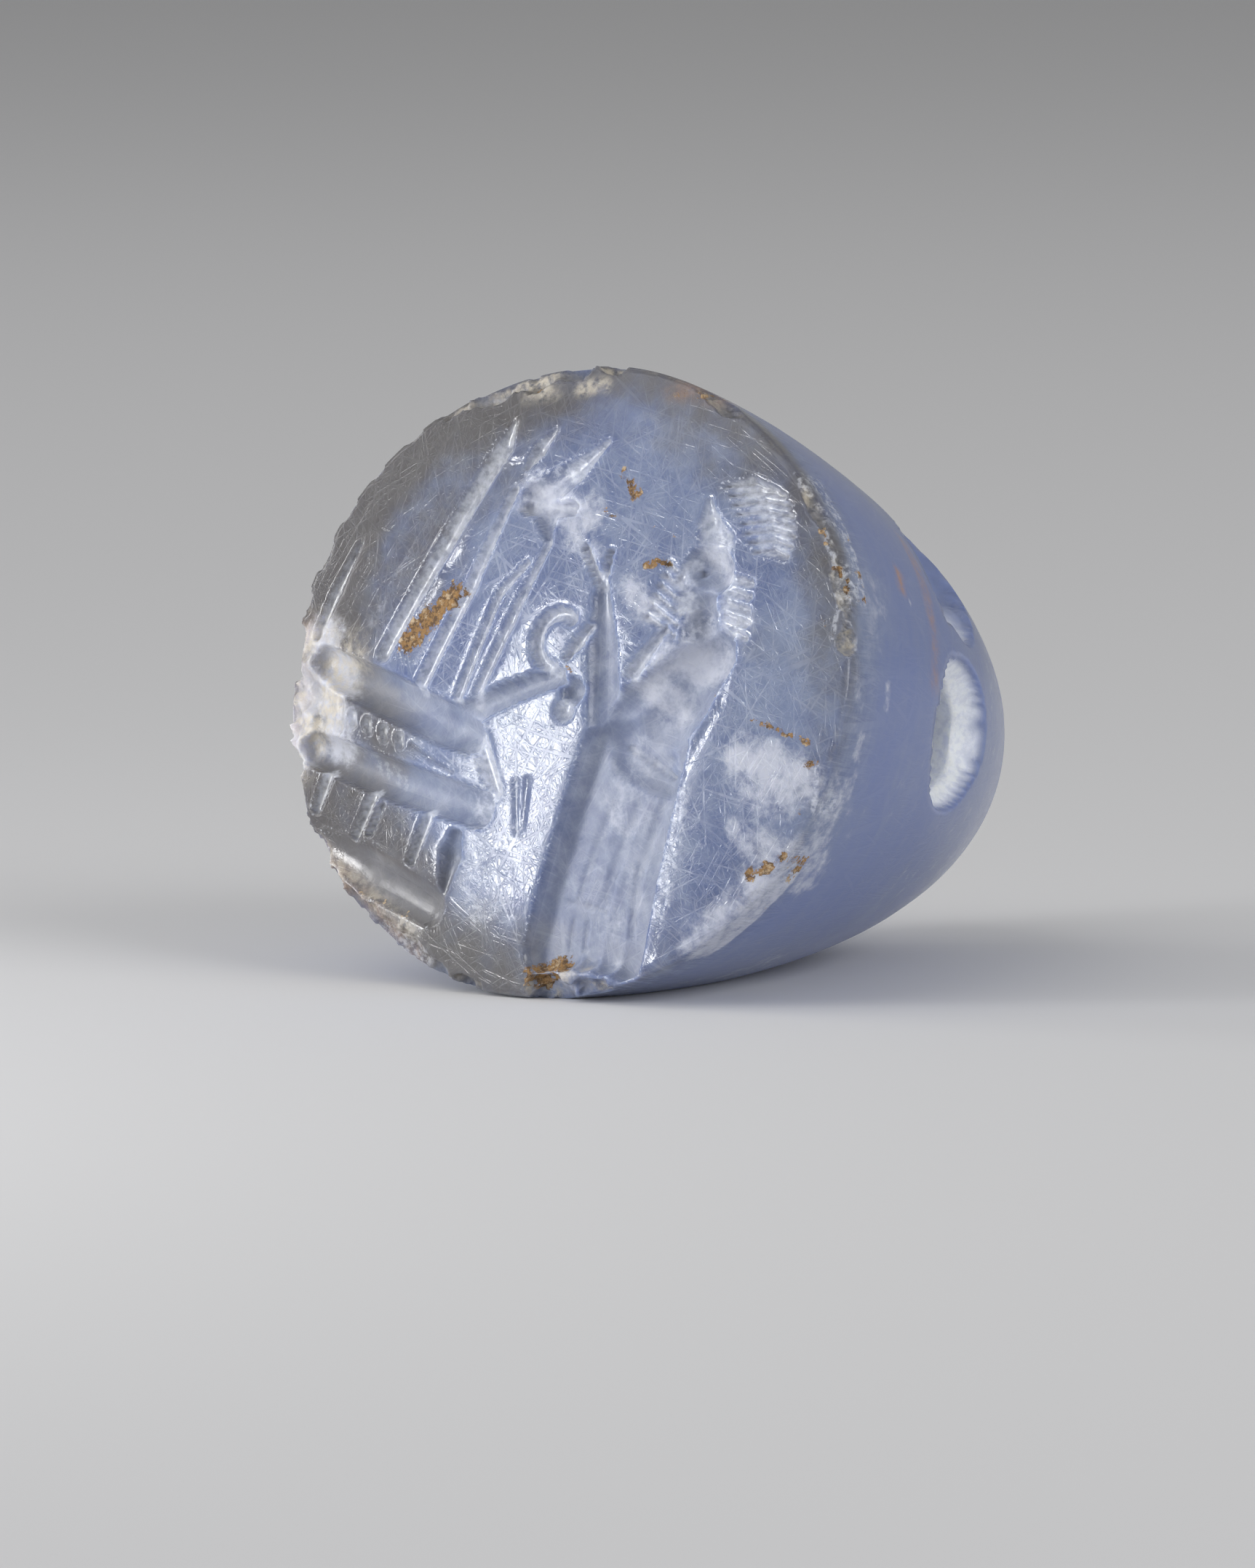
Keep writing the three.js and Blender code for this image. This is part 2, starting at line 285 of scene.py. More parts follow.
@dataclass
class EngravedScene:
    """The picture cut into the face.

    Places are in hundredths of the face's half-width and half-height, depths and reaches in millimetres.
    """

    form: StoneForm
    faint_cut: float = 0.07
    blade_cut: float = 0.08
    leaf_cut: float = 0.1
    fine_cut: float = 0.16
    stroke_cut: float = 0.2
    beard_cut: float = 0.26
    hair_cut: float = 0.27
    line_cut: float = 0.3
    limb_cut: float = 0.5
    deep_cut: float = 0.75
    edge_wear: float = 0.06
    joint_wear: float = 0.12
    shoulder_depth: float = 0.02
    shoulder_reach: float = 0.12
    # only points within so many half-widths and so many millimetres of a cut are worked out
    near_widths: float = 2.5
    near_spare: float = 0.3
    cuts: list[Cut] = field(default_factory=list)

    def groove(self, depth: float, *points: tuple[float, ...], tool: Tool = Tool.ROUND) -> None:
        """Adds a groove through points of across, up, half-width and, where it differs, depth.

        Args:
            depth: Depth where a point gives none.
            points: The points, in hundredths.
            tool: The tool that cuts it.
        """
        wide = self.form.half_width / 100
        tall = self.form.half_height / 100
        ends = [(p[0] * wide, p[1] * tall, p[2] * wide, p[3] if len(p) > 3 else depth) for p in points]
        self.cuts += [Cut(start, end, tool) for start, end in zip(ends, ends[1:])]

    def drilled(self, across: float, up: float, half: float, depth: float) -> None:
        """Adds the hollow of a round drill."""
        self.groove(depth, (across, up, half), (across + 0.01, up, half))

    def stroke_row(
        self, count: int, depth: float, half: float, first: Stroke, last: Stroke, tool: Tool = Tool.ROUND
    ) -> None:
        """Adds equal strokes spread between a first and a last one.

        Args:
            count: How many strokes.
            depth: Their depth.
            half: Their half-width at the tail, which falls to six tenths at the tip.
            first: Across and up of the first stroke's tail and tip.
            last: The same of the last stroke.
            tool: The tool that cuts them.
        """
        for share in np.linspace(0, 1, count):
            tail, tip = (np.array(first) * (1 - share) + np.array(last) * share).tolist()
            self.groove(depth, (*tail, half), (*tip, half * 0.6), tool=tool)

    def spade_standard(self) -> None:
        """Two long shafts with pointed tips, a sunk blade between them, a binding and a curved top."""
        self.groove(self.line_cut, (-26, 80, 0.8, 0.1), (-28, 72, 3.4), (-44, 38, 3.2), (-61, 4, 2.6))
        self.groove(self.line_cut, (-10, 78, 0.8, 0.1), (-15, 71, 2.6), (-18, 66, 1.4))
        self.groove(self.line_cut, (-21, 58, 1.6), (-31, 27, 2.8), (-45, -6, 2.6))
        self.groove(self.blade_cut, (-22, 63, 5), (-37, 32, 5.5), (-50, 6, 4.5), tool=Tool.FLAT)
        self.groove(self.faint_cut + 0.02, (-31, 69, 1), (-24, 66, 1), (-16, 67.5, 1))
        self.groove(self.faint_cut, (-42, 33, 0.8), (-37, 29.5, 0.8), (-31, 28, 0.8))
        self.groove(self.faint_cut, (-43, 31, 0.8), (-37.5, 27, 0.8), (-32, 25.5, 0.8))

    def stylus_standard(self) -> None:
        """A wedge-shaped head under a broad slanting cut, on a double shaft."""
        self.groove(self.limb_cut, (9.5, 75, 0.8, 0.16), (0, 65, 4, 0.3), (-12, 56, 6))
        self.groove(self.limb_cut, (-15, 53, 2.4), (1, 53, 2.4))
        self.groove(self.limb_cut, (-8, 52, 5), (-5, 42, 1.2, 0.16))
        self.groove(self.fine_cut, (-4.5, 42, 1.2), (-14, 16, 1.8), (-24, -10, 1.8))
        self.groove(self.fine_cut, (-11, 35, 1), (-19.5, 25, 1.4), (-30, -9, 1.8))
        self.groove(self.faint_cut, (-15, 60, 0.8), (-6, 65, 0.8))

    def horned_creature(self) -> None:
        """Body, legs, neck, curled horn, ear, snout and raised tail."""
        self.groove(self.deep_cut, (-85, 0, 5.6), (-58, -9, 7), (-35, -17, 7), (-25, -20, 6))
        self.groove(self.limb_cut, (-33, -15.5, 4.6), (-23, -12, 4), (-11, -6, 3.6), (5, 0, 3.2))
        turn = np.radians(np.linspace(-95, -300, 13))
        horn = [(4 + 7.6 * math.cos(a), 11 + 8.6 * math.sin(a), 2.2) for a in turn]
        self.groove(self.line_cut, *horn)
        self.groove(self.line_cut, (8, 6.5, 1.2), (11, 11, 2.2), (14, 16, 1))
        self.drilled(11, -4.5, 4.3, self.limb_cut)
        self.drilled(9, -10.5, 3.7, self.line_cut)
        self.groove(self.line_cut, (-20, -22, 3.4), (-13, -37, 3))
        self.groove(self.line_cut, (-78, 39, 1), (-84, 24, 2.2), (-89.5, 9, 1.6))
        self.stroke_row(4, self.stroke_cut, 1.8, ((-71, -16), (-70, -19)), ((-51, -22), (-50, -25)))
        self.groove(self.leaf_cut, (-46, -24.5, 0.9), (-38, -28.5, 0.9), (-29, -32.5, 0.7))

    def podium(self) -> None:
        """Two broad bars with upright strokes between them."""
        self.groove(self.deep_cut, (-86, -27, 5.6), (-52, -36, 6.4), (-19, -43, 6))
        self.groove(self.line_cut + 0.1, (-77, -57, 4.2, 0.14), (-60, -64.5, 7.6), (-36, -74, 6.6))
        self.groove(self.line_cut, (-78.5, -36, 2.4), (-82.5, -46, 1.8))
        self.groove(self.line_cut, (-59.5, -41, 2), (-65.5, -54, 1.6))
        self.groove(self.line_cut, (-56, -44, 1.4), (-60, -53, 1.2))
        self.groove(self.line_cut, (-37.5, -46.5, 2.2), (-43, -61, 1.6))
        self.groove(self.limb_cut, (-26.5, -52, 2.4, 0.3), (-28, -58, 4), (-31, -72, 1, 0.16))
        self.stroke_row(2, 0.04, 1.1, ((-5.5, -34), (-4, -50)), ((-1.5, -33), (-2.2, -48)))

    def robe(self) -> None:
        """The worshipper's long robe: flat folds side by side from belt to hem, with fine creases."""
        folds = 5
        fold_half = 6.6
        belt = (34.5, -19.0, 17.5)
        hem = (20.0, -84.0, 20.5)
        for spread in np.linspace(-1, 1, folds):
            top = (belt[0] + spread * (belt[2] - fold_half), belt[1], fold_half)
            foot = (hem[0] + spread * (hem[2] - fold_half), hem[1] - 2 * spread * spread, fold_half)
            middle = ((top[0] + foot[0]) / 2, (top[1] + foot[1]) / 2, fold_half)
            self.groove(self.deep_cut, top, middle, foot, tool=Tool.FLAT)
        bevel = [(62.5, 9, 0.8, 0.01), (61, -5, 0.9, 0.012), (50.3, -28, 1.4, 0.02)]
        bevel += [(47.8, -45, 2.4, 0.035), (43.3, -67, 4, 0.06), (41, -82, 4, 0.06)]
        self.groove(self.shoulder_depth, *bevel, tool=Tool.KEEN)
        crease = self.deep_cut + 0.016
        self.groove(crease, (34, -36, 2.2), (26, -60, 1.8), (24, -68, 1.4))
        self.groove(crease, (25, -38, 2), (19, -55, 1.6), (15, -68, 1.2))
        self.groove(crease, (42, -36, 1.8), (35, -58, 1.6), (33, -78, 1.4))
        self.groove(crease, (11, -69, 0.9), (18, -70, 0.9), (24, -71, 0.9))
        self.groove(crease, (13, -75, 0.8), (12, -84, 0.8))
        self.groove(crease, (18, -75, 0.8), (17, -84, 0.8))

    def arms_and_shoulder(self) -> None:
        """Shoulder, arms and raised hands."""
        self.groove(self.deep_cut + self.line_cut, (55, 10, 9), (47, -3, 11), (37, -16, 13))
        self.groove(self.deep_cut, (58, 13, 5), (44, 2, 6), (27, -11, 6))
        self.groove(self.limb_cut, (16.5, 29, 2.4, 0.3), (19.5, 10, 5.2), (23, -12, 6))
        self.groove(self.line_cut, (8.5, 41, 1.2), (16, 29, 1.6))
        self.groove(self.line_cut, (17.5, 40, 1.2), (16.5, 29, 1.6))
        self.groove(self.line_cut, (39.5, 17, 1.4), (31, 3, 2.6))
        belt = self.deep_cut + self.line_cut
        self.stroke_row(2, belt, 9, ((28, -18), (40, -24)), ((29, -24), (42, -30)))
        self.groove(belt + 0.05, (28, -20, 1.2), (36, -24, 1.4), (43, -28, 1.2))

    def head(self) -> None:
        """A plain bearded head in profile, with locks at the nape and a fan of hair behind."""
        self.drilled(51, 36, 8.5, self.deep_cut)
        self.drilled(48, 28, 7, self.limb_cut)
        self.drilled(44, 25, 3, self.line_cut)
        self.groove(self.line_cut, (45, 38, 1.6), (41.5, 33, 1.4), (43.5, 31, 1.2))
        self.groove(self.line_cut, (47.5, 58, 1.2, 0.1), (49, 51, 3.8), (52, 45, 6.4))
        self.groove(self.deep_cut, (50, 26, 5), (51, 17, 6))
        self.groove(self.deep_cut, (46.2, 35.5, 0.9), (48, 35.8, 0.9))
        beard = ((38, 37), (46, 31.5)), ((33, 20.5), (43, 15))
        self.stroke_row(6, self.beard_cut, 1.5, *beard, tool=Tool.KEEN)
        self.stroke_row(5, self.stroke_cut, 2.1, ((58, 34), (65.5, 33)), ((58, 19), (66, 16)))
        for share in np.linspace(0, 1, 8):
            angle = math.radians(54 - 72 * share)
            sway = math.sin(9 * share)
            root = (52 + 13 * share, 63 - 20 * share, 0.9)
            tip = (57 + 19 * math.cos(angle), 48 + (18 + sway) * math.sin(angle))
            middle = ((root[0] + tip[0]) / 2, (root[1] + tip[1]) / 2 + 1.6, 2.5 + 0.5 * sway)
            self.groove(self.hair_cut + 0.04 * sway, root, middle, (*tip, 1.5), tool=Tool.KEEN)

    def cut_all(self) -> None:
        """Cuts every part of the picture once."""
        self.spade_standard()
        self.stylus_standard()
        self.horned_creature()
        self.podium()
        self.robe()
        self.arms_and_shoulder()
        self.head()

    def depth(self, across: Array, up: Array, kept: tuple[float, float] = (0.0, 9.0)) -> Array:
        """Depth of the engraving at places on the face, with its edges and joints rounded by wear.

        Wear also leaves a shallow shoulder along every cut, which falls off by e over shoulder_reach.

        Args:
            across: Places to the right of the middle.
            up: Places above the middle.
            kept: The least and greatest depth of the cuts that count.

        Returns:
            The soft largest of all the cuts' depths and of the untouched face, plus the shoulder.
        """
        deepest = np.full(across.shape, -1.0)
        for cut in self.cuts:
            if not kept[0] <= max(cut.start[3], cut.end[3]) <= kept[1]:
                continue
            reach = self.near_widths * max(cut.start[2], cut.end[2]) + self.near_spare
            low = np.minimum(cut.start[:2], cut.end[:2]) - reach
            high = np.maximum(cut.start[:2], cut.end[:2]) + reach
            near = (across > low[0]) & (across < high[0]) & (up > low[1]) & (up < high[1])
            deepest[near] = soft_max(deepest[near], cut.depth(across[near], up[near]), self.joint_wear)
        shoulder = self.shoulder_depth * np.exp(np.minimum(deepest, 0) / self.shoulder_reach)
        return soft_max(deepest, 0.0, self.edge_wear) + shoulder


@dataclass(frozen=True)
class Lump:
    """A body that bites into the stone, as an uneven ellipsoid with its own axes, in the stone's frame."""

    centre: Array
    axes: Array
    radii: Array
    unevenness: float = 0.0
    seed: int = 0
    lip: float = 0.03

    def bite(self, points: Array, inward: Array) -> Array:
        """How far each point has to move along its inward direction to leave the lump.

        The way out solves |q + t d| = 1 for t, where q and d are the point and the direction in the
        lump's own axes over its radii. Unevenness swells and shrinks the radii by layered grain, and
        the lip rounds the border: t becomes t^2 / (t + lip).

        Args:
            points: Rows of points.
            inward: Rows of unit directions.

        Returns:
            The distance for each point, and 0 for a point outside the lump.
        """
        near = np.linalg.norm(points - self.centre, axis=1) < 1.4 * self.radii.max()
        move = np.zeros(len(points))
        if not near.any():
            return move
        swell = np.ones((int(near.sum()), 1))
        if self.unevenness:
            swell += self.unevenness * layered_grain(points[near], self.radii.min(), self.seed)[:, None]
        place = (points[near] - self.centre) @ self.axes.T / (self.radii * swell)
        heading = inward[near] @ self.axes.T / (self.radii * swell)
        a = (heading**2).sum(1)
        b = (place * heading).sum(1)
        c = (place**2).sum(1) - 1
        exit_way = (-b + np.sqrt(np.maximum(b * b - a * c, 0))) / a
        out = np.where(c < 0, exit_way, 0)
        move[near] = out * out / (out + self.lip)
        return move


def turn_axes(*turns: tuple[str, float]) -> Array:
    """Rows of axes turned in order about the across, station or up axis, in degrees."""
    axes = np.eye(3)
    for axis, degrees in turns:
        turn = Matrix.Rotation(math.radians(degrees), 3, axis)
        axes = axes @ np.array(turn).T
    return axes


@dataclass(frozen=True)
class CordHole:
    """The hole drilled across the stone for a cord, with a worn and frosted mouth at each side."""

    form: StoneForm
    diameter: float = 3.8
    station: float = 10.5
    mouth_height: float = 5.8
    mouth_width: float = 6.0
    mouth_depth: float = 1.8
    far_share: float = 0.8
    sides: int = 48
    rings: int = 44

    def mouths(self) -> list[Lump]:
        """The two flaring mouths, as lumps sunk square to the wall."""
        wall = self.form.half_width * float(self.form.girth_share(self.station))
        lean = math.degrees(self.form.wall_lean(self.station))
        lumps = []
        for side, size in ((1, 1.0), (-1, self.far_share)):
            radii = np.array([self.mouth_depth, self.mouth_width / 2, self.mouth_height / 2]) * size
            axes = turn_axes(("Z", side * lean))
            centre = np.array([side * wall, self.station, 0])
            lumps.append(Lump(centre, axes, radii, unevenness=0.05, seed=40 + side, lip=0.16))
        return lumps

    def drill(self) -> bpy.types.Object:
        """A closed tube across the stone that the bore is cut with, slightly uneven along its length.

        Returns:
            The tube, whose radius at each ring is half the diameter plus grain, closed by two poles.
        """
        reach = self.form.half_width
        along = np.linspace(-reach, reach, self.rings)
        angle = np.linspace(0, 2 * math.pi, self.sides, endpoint=False)
        along_grid, angle_grid = np.meshgrid(along, angle, indexing="ij")
        points = np.stack([along_grid, np.cos(angle_grid), np.sin(angle_grid)], axis=-1).reshape(-1, 3)
        radius = self.diameter / 2 + 0.05 * layered_grain(points * [1, 2, 2], 1.6, 51)
        ring = np.stack(
            [points[:, 0], self.station + radius * points[:, 1], radius * points[:, 2]], axis=1
        )
        poles = np.array([[-reach, self.station, 0], [reach, self.station, 0]])
        faces = ring_strip(np.arange(len(ring)).reshape(self.rings, self.sides))
        first = np.arange(self.sides)
        last = first + (self.rings - 1) * self.sides
        low, high = len(ring), len(ring) + 1
        faces += [(low, int(b), int(a)) for a, b in zip(first, np.roll(first, -1))]
        faces += [(high, int(a), int(b)) for a, b in zip(last, np.roll(last, -1))]
        points = self.form.laid(np.vstack([ring, poles])) * MILLIMETRE
        return placed("cord_drill", mesh_of("cord_drill", points, faces))


def ring_strip(rows: Array) -> Faces:
    """Four-sided faces between neighbouring closed rings of as many points.

    Args:
        rows: One row of point numbers for each ring.

    Returns:
        The faces, in the order ring, next along the ring, next ring.
    """
    after = np.roll(rows, -1, axis=1)
    quads = np.stack([rows[:-1], after[:-1], after[1:], rows[1:]], axis=-1)
    return [tuple(quad) for quad in quads.reshape(-1, 4).tolist()]


def halving_strip(fine: Array, coarse: Array) -> Faces:
    """Triangles between a closed ring and the next one with half as many points.

    Args:
        fine: Point numbers of the fuller ring.
        coarse: Point numbers of the ring with half as many.

    Returns:
        Three triangles for each point of the coarse ring.
    """
    a0, a1 = fine[0::2], fine[1::2]
    a2 = np.roll(a0, -1)
    b0, b1 = coarse, np.roll(coarse, -1)
    triangles = np.concatenate(
        [np.stack(corners, axis=-1) for corners in ((a0, a1, b0), (a1, a2, b1), (a1, b1, b0))]
    )
    return [tuple(triangle) for triangle in triangles.tolist()]


@dataclass(frozen=True)
class Wear:
    """Chips along the rim and the flake lost above the near mouth of the cord hole."""

    form: StoneForm
    scar_station: float = 11.4
    scar_angle: float = 32.5
    scar_lean: float = 22
    scar_size: Triple = (0.95, 2.6, 3.7)

    def scar(self) -> Lump:
        """The long shallow scar that runs up the stone from the near mouth."""
        girth = float(self.form.girth_share(self.scar_station))
        lean = math.degrees(self.form.wall_lean(self.scar_station))
        axes = turn_axes(("X", -self.scar_lean), ("Z", lean), ("Y", -self.scar_angle - self.form.oval_turn))
        centre = self.form.oval_point(self.scar_angle, girth, self.scar_station)
        return Lump(centre, axes, np.array(self.scar_size), unevenness=0.12, seed=61, lip=0.08)

    def rim_chip(
        self, degrees: float, half_length: float, bite: float, depth: float,
        lean: float = 0, share: float = 1, station: float = 0,
    ) -> Lump:
        """A chip struck from the rim.

        Args:
            degrees: Angle around the face, up from the right.
            half_length: Half its length along the rim.
            bite: How far it bites in from the rim.
            depth: How far it bites along the wall.
            lean: Degrees by which it tips towards the face.
            share: Its middle, as a share of the radius.
            station: Its middle, from the rim's plane.

        Returns:
            The chip as an uneven lump.
        """
        axes = turn_axes(("Z", lean), ("Y", -degrees - self.form.oval_turn))
        centre = self.form.oval_point(degrees, share, station)
        radii = np.array([bite, depth, half_length])
        return Lump(centre, axes, radii, unevenness=0.26, seed=int(abs(degrees) * 7) + 100)

    def chips(self) -> list[Lump]:
        """The great chip at the left, the pit below, and runs of smaller chips."""
        lumps = [
            self.rim_chip(181, 2.6, 2.1, 0.9, lean=14, share=0.9, station=-0.75),
            self.rim_chip(170, 1.4, 0.7, 0.9, lean=10),
            self.rim_chip(194, 1.8, 0.5, 0.8, lean=-8),
            self.rim_chip(-92, 1.0, 0.8, 0.9),
            self.rim_chip(-84, 0.8, 0.55, 0.6),
            self.rim_chip(56, 1.0, 0.5, 0.5),
            self.rim_chip(28, 1.1, 0.35, 0.5),
            self.rim_chip(12, 1.5, 0.4, 0.7),
            self.rim_chip(1, 0.6, 0.45, 0.5),
        ]
        # each run: first and last angle, how many chips, and their middling depth
        runs = ((80, 104, 4, 0.62), (114, 160, 6, 0.34), (207, 250, 7, 0.58))
        for start, stop, count, size in runs:
            for index in range(count):
                swell = 1 + 0.35 * math.sin(5 * index + start)
                degrees = start + (stop - start) * index / (count - 1)
                chip = self.rim_chip(degrees, 1.9 * size * swell, size * swell, size, lean=12 * swell)
                lumps.append(chip)
        return lumps


@dataclass
class CarvedSeal:
    """The whole stone as one closed mesh: engraved face, worn rim, wall, dome and bore."""

    form: StoneForm
    scene: EngravedScene
    hole: CordHole
    wear: Wear
    face_squares: int = 232
    rim_steps: int = 4
    body: bpy.types.Object | None = None
    shift: Array = field(default_factory=lambda: np.zeros(3))

    @property
    def face_share(self) -> float:
        """The flat face's radius as a share of the rim's, which leaves room for the softened rim."""
        return 1 - self.form.rim_softening / self.form.half_height

    def face_grid(self) -> tuple[Array, Array, Faces]:
        """The unit disc as a bent square grid.

        The square's places u and v become u sqrt(1 - v^2/2) and v sqrt(1 - u^2/2), so that its border is
        the circle.

        Returns:
            Disc places as rows of two, the border's point numbers in order round the circle, and faces.
        """
        count = self.face_squares + 1
        line = np.linspace(-1, 1, count)
        v, u = np.meshgrid(line, line, indexing="ij")
        disc = np.stack([u * np.sqrt(1 - v * v / 2), v * np.sqrt(1 - u * u / 2)], axis=-1).reshape(-1, 2)
        numbers = np.arange(count * count).reshape(count, count)
        border = np.concatenate(
            [numbers[0, :-1], numbers[:-1, -1], numbers[-1, :0:-1], numbers[:0:-1, 0]]
        )
        quads = np.stack(
            [numbers[:-1, :-1], numbers[:-1, 1:], numbers[1:, 1:], numbers[1:, :-1]], axis=-1
        )
        return disc, border, [tuple(quad) for quad in quads.reshape(-1, 4).tolist()]

    def rings(self) -> list[tuple[float, float, int]]:
        """The rings of the rim, the wall and the dome, closest together where the mouths and the scar are.

        Returns:
            Girth as a share of the rim's, station, and by how much the ring's points are thinned out.
        """
        soft = self.form.rim_softening
        length = self.form.length
        full = float(self.form.girth_share(soft))
        start = self.face_share
        rim_angle = np.linspace(0, math.pi / 2, self.rim_steps + 1)[1:-1]
        rings = [
            (start + (1 - start) * math.sin(a) * full, soft * (1 - math.cos(a)), 1) for a in rim_angle
        ]
        dome = length * np.sin(np.linspace(math.asin(19.4 / length), math.pi / 2, 15))[:-1]
        # each run: stations in millimetres, and the thinning of their rings
        runs = (
            (np.linspace(soft, 1.5, 8), 1),
            (np.linspace(1.75, 6.2, 14), 2),
            (np.linspace(6.4, 15.6, 36), 2),
            (np.linspace(16, 19, 8), 2),
            (dome[:8], 4),
            (dome[8:], 8),
        )
        for stations, thin in runs:
            rings += [(float(self.form.girth_share(s)), float(s), thin) for s in stations]
        return rings

    def face_plate(self, disc: Array) -> tuple[Array, Array]:
        """The swollen face before any cut.

        Args:
            disc: Places on the unit disc, as rows of two.

        Returns:
            Its points, and the inward direction of wear, which leans towards the axis near the rim.
        """
        form = self.form
        share = np.hypot(disc[:, 0], disc[:, 1]) * self.face_share
        across, up = form.turned(
            disc[:, 0] * self.face_share * form.half_width, disc[:, 1] * self.face_share * form.half_height
        )
        points = np.stack([across, form.face_station(share), up], axis=1)
        edge = smooth_step(0.86, 1.0, share / self.face_share)[:, None]
        return points, INTO_STONE * (1 - 0.3 * edge) + towards_axis(across, up) * edge * 0.7

    def blank(self) -> tuple[Array, Faces, Array]:
        """The stone before any cut, as points, faces and the direction in which wear eats into each point.

        Returns:
            Points in the stone's frame, faces pointing outwards, and unit inward directions.
        """
        form = self.form
        disc, last, faces = self.face_grid()
        circle = disc[last]
        face, face_inward = self.face_plate(disc)
        points = [face]
        inward = [face_inward]
        sides: Faces = []
        total = len(disc)
        for girth, station, thin in self.rings():
            ring = circle[::thin] * girth
            across, up = form.turned(ring[:, 0] * form.half_width, ring[:, 1] * form.half_height)
            points.append(np.stack([across, np.full_like(across, station), up], axis=1))
            fall = 0.5 * math.exp(-station / 0.6)
            inward.append(towards_axis(across, up) * (1 - fall) + INTO_STONE * fall)
            now = np.arange(total, total + len(ring))
            total += len(ring)
            same = len(now) == len(last)
            sides += ring_strip(np.stack([last, now])) if same else halving_strip(last, now)
            last = now
        points.append(np.array([[0.0, form.length, 0.0]]))
        inward.append(-INTO_STONE)
        sides += [(int(a), int(b), total) for a, b in zip(last, np.roll(last, -1))]
        faces += [side[::-1] for side in sides]
        heading = np.vstack(inward)
        heading /= np.linalg.norm(heading, axis=1)[:, None]
        return np.vstack(points), faces, heading

    def carve(self, points: Array, inward: Array) -> Array:
        """Moves the blank's points to the carved and worn surface.

        Args:
            points: The blank's points.
            inward: The unit direction in which wear eats into each point.

        Returns:
            The points of the finished surface, still in the stone's frame.
        """
        # the face and the first ring of the rim are engraved, the rest is wall
        on_face = points[:, 1] < 0.02
        carved = points.copy()
        face = points[on_face]
        depth = self.scene.depth(face[:, 0], face[:, 2])
        tool_marks = 0.008 * layered_grain(face, 0.45, 11) * smooth_step(0.05, 0.4, depth)
        waves = 0.01 * layered_grain(face, 3.0, 17, 2)
        carved[on_face, 1] += depth + tool_marks + waves
        wall = ~on_face
        carved[wall] += inward[wall] * (0.012 * layered_grain(points[wall], 2.5, 23))[:, None]
        for chip in self.wear.chips():
            carved += inward * chip.bite(carved, inward)[:, None]
        for hollow in (*self.hole.mouths(), self.wear.scar()):
            side = np.sign(hollow.axes[0] @ (hollow.centre * [1, 0, 1]))
            sunk = np.tile(-side * hollow.axes[0], (len(carved), 1))
            carved += sunk * hollow.bite(carved, sunk)[:, None]
        return carved

    def build(self) -> bpy.types.Object:
        """Builds the mesh in the row frame, cuts the bore and stores the fields that the finish reads.

        Returns:
            The finished object, at the origin.
        """
        self.scene.cut_all()
        points, faces, inward = self.blank()
        laid = self.form.laid(self.carve(points, inward))
        low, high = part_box("seal_stone")
        middle = np.array([(low.x + high.x) / 2, (low.y + high.y) / 2, 0]) / MILLIMETRE
        self.shift = middle - (laid.min(0) + laid.max(0)) / 2 * [1, 1, 0]
        laid[:, 2] = np.maximum(laid[:, 2], 0)
        mesh = mesh_of("carved_seal", (laid + self.shift) * MILLIMETRE, faces)
        mesh.validate()
        self.body = placed("carved_seal", mesh)
        self.drill_bore()
        self.body.data.shade_smooth()
        self.store_fields()
        return self.body

    def drill_bore(self) -> None:
        """Cuts the bore through the stone and applies the cut."""
        drill = self.hole.drill()
        drill.data.transform(Matrix.Translation(Vector(self.shift * MILLIMETRE)))
        cut = self.body.modifiers.new("bore", "BOOLEAN")
        cut.operation = "DIFFERENCE"
        cut.solver = "MANIFOLD"
        cut.object = drill
        graph = bpy.context.evaluated_depsgraph_get()
        cut_mesh = bpy.data.meshes.new_from_object(self.body.evaluated_get(graph))
        cut_mesh.name = "carved_seal"
        cut_mesh.materials.clear()
        self.body.modifiers.clear()
        self.body.data = cut_mesh
        bpy.data.objects.remove(drill)

    def own_places(self) -> Array:
        """The mesh's points in the stone's frame, in millimetres."""
        flat = np.zeros(len(self.body.data.vertices) * 3)
        self.body.data.vertices.foreach_get("co", flat)
        return self.form.unlaid(flat.reshape(-1, 3) / MILLIMETRE - self.shift)

    def store_fields(self) -> None:
        """Stores the fields of the finish as point attributes of the mesh."""
        places = self.own_places()
        for name, values in StainMap(self.form, self.hole, self.scene).fields(places).items():
            layer = self.body.data.attributes.new(name, "FLOAT", "POINT")
            layer.data.foreach_set("value", values.astype(np.float32))


@dataclass(frozen=True)
class Stain:
    """A patch along a line between two points of the stone, with a soft border.

    A patch of the face counts only places across and up, so that it also covers what is cut there.
    """

    start: Triple
    end: Triple
    half: float
    strength: float = 1.0
    of_face: bool = False

    def reach(self, places: Array) -> Array:
        """Strength at places: full along the line, falling smoothly to 0 at twice the half-width."""
        used = np.array([1.0, 0.0 if self.of_face else 1.0, 1.0])
        away = capsule_distance(places * used, np.array(self.start) * used, np.array(self.end) * used)
        inside = places[:, 1] < FACE_REACH if self.of_face else True
        return self.strength * inside * (1 - smooth_step(0.2 * self.half, 2 * self.half, away))


def face_stains(*rows: tuple[float, ...]) -> list[Stain]:
    """Stains between two places of the face.

    Args:
        rows: Across and up of both ends, the half-width and, where it isn't 1, the strength.

    Returns:
        A stain for each row.
    """
    return [Stain((row[0], 0, row[1]), (row[2], 0, row[3]), *row[4:], of_face=True) for row in rows]


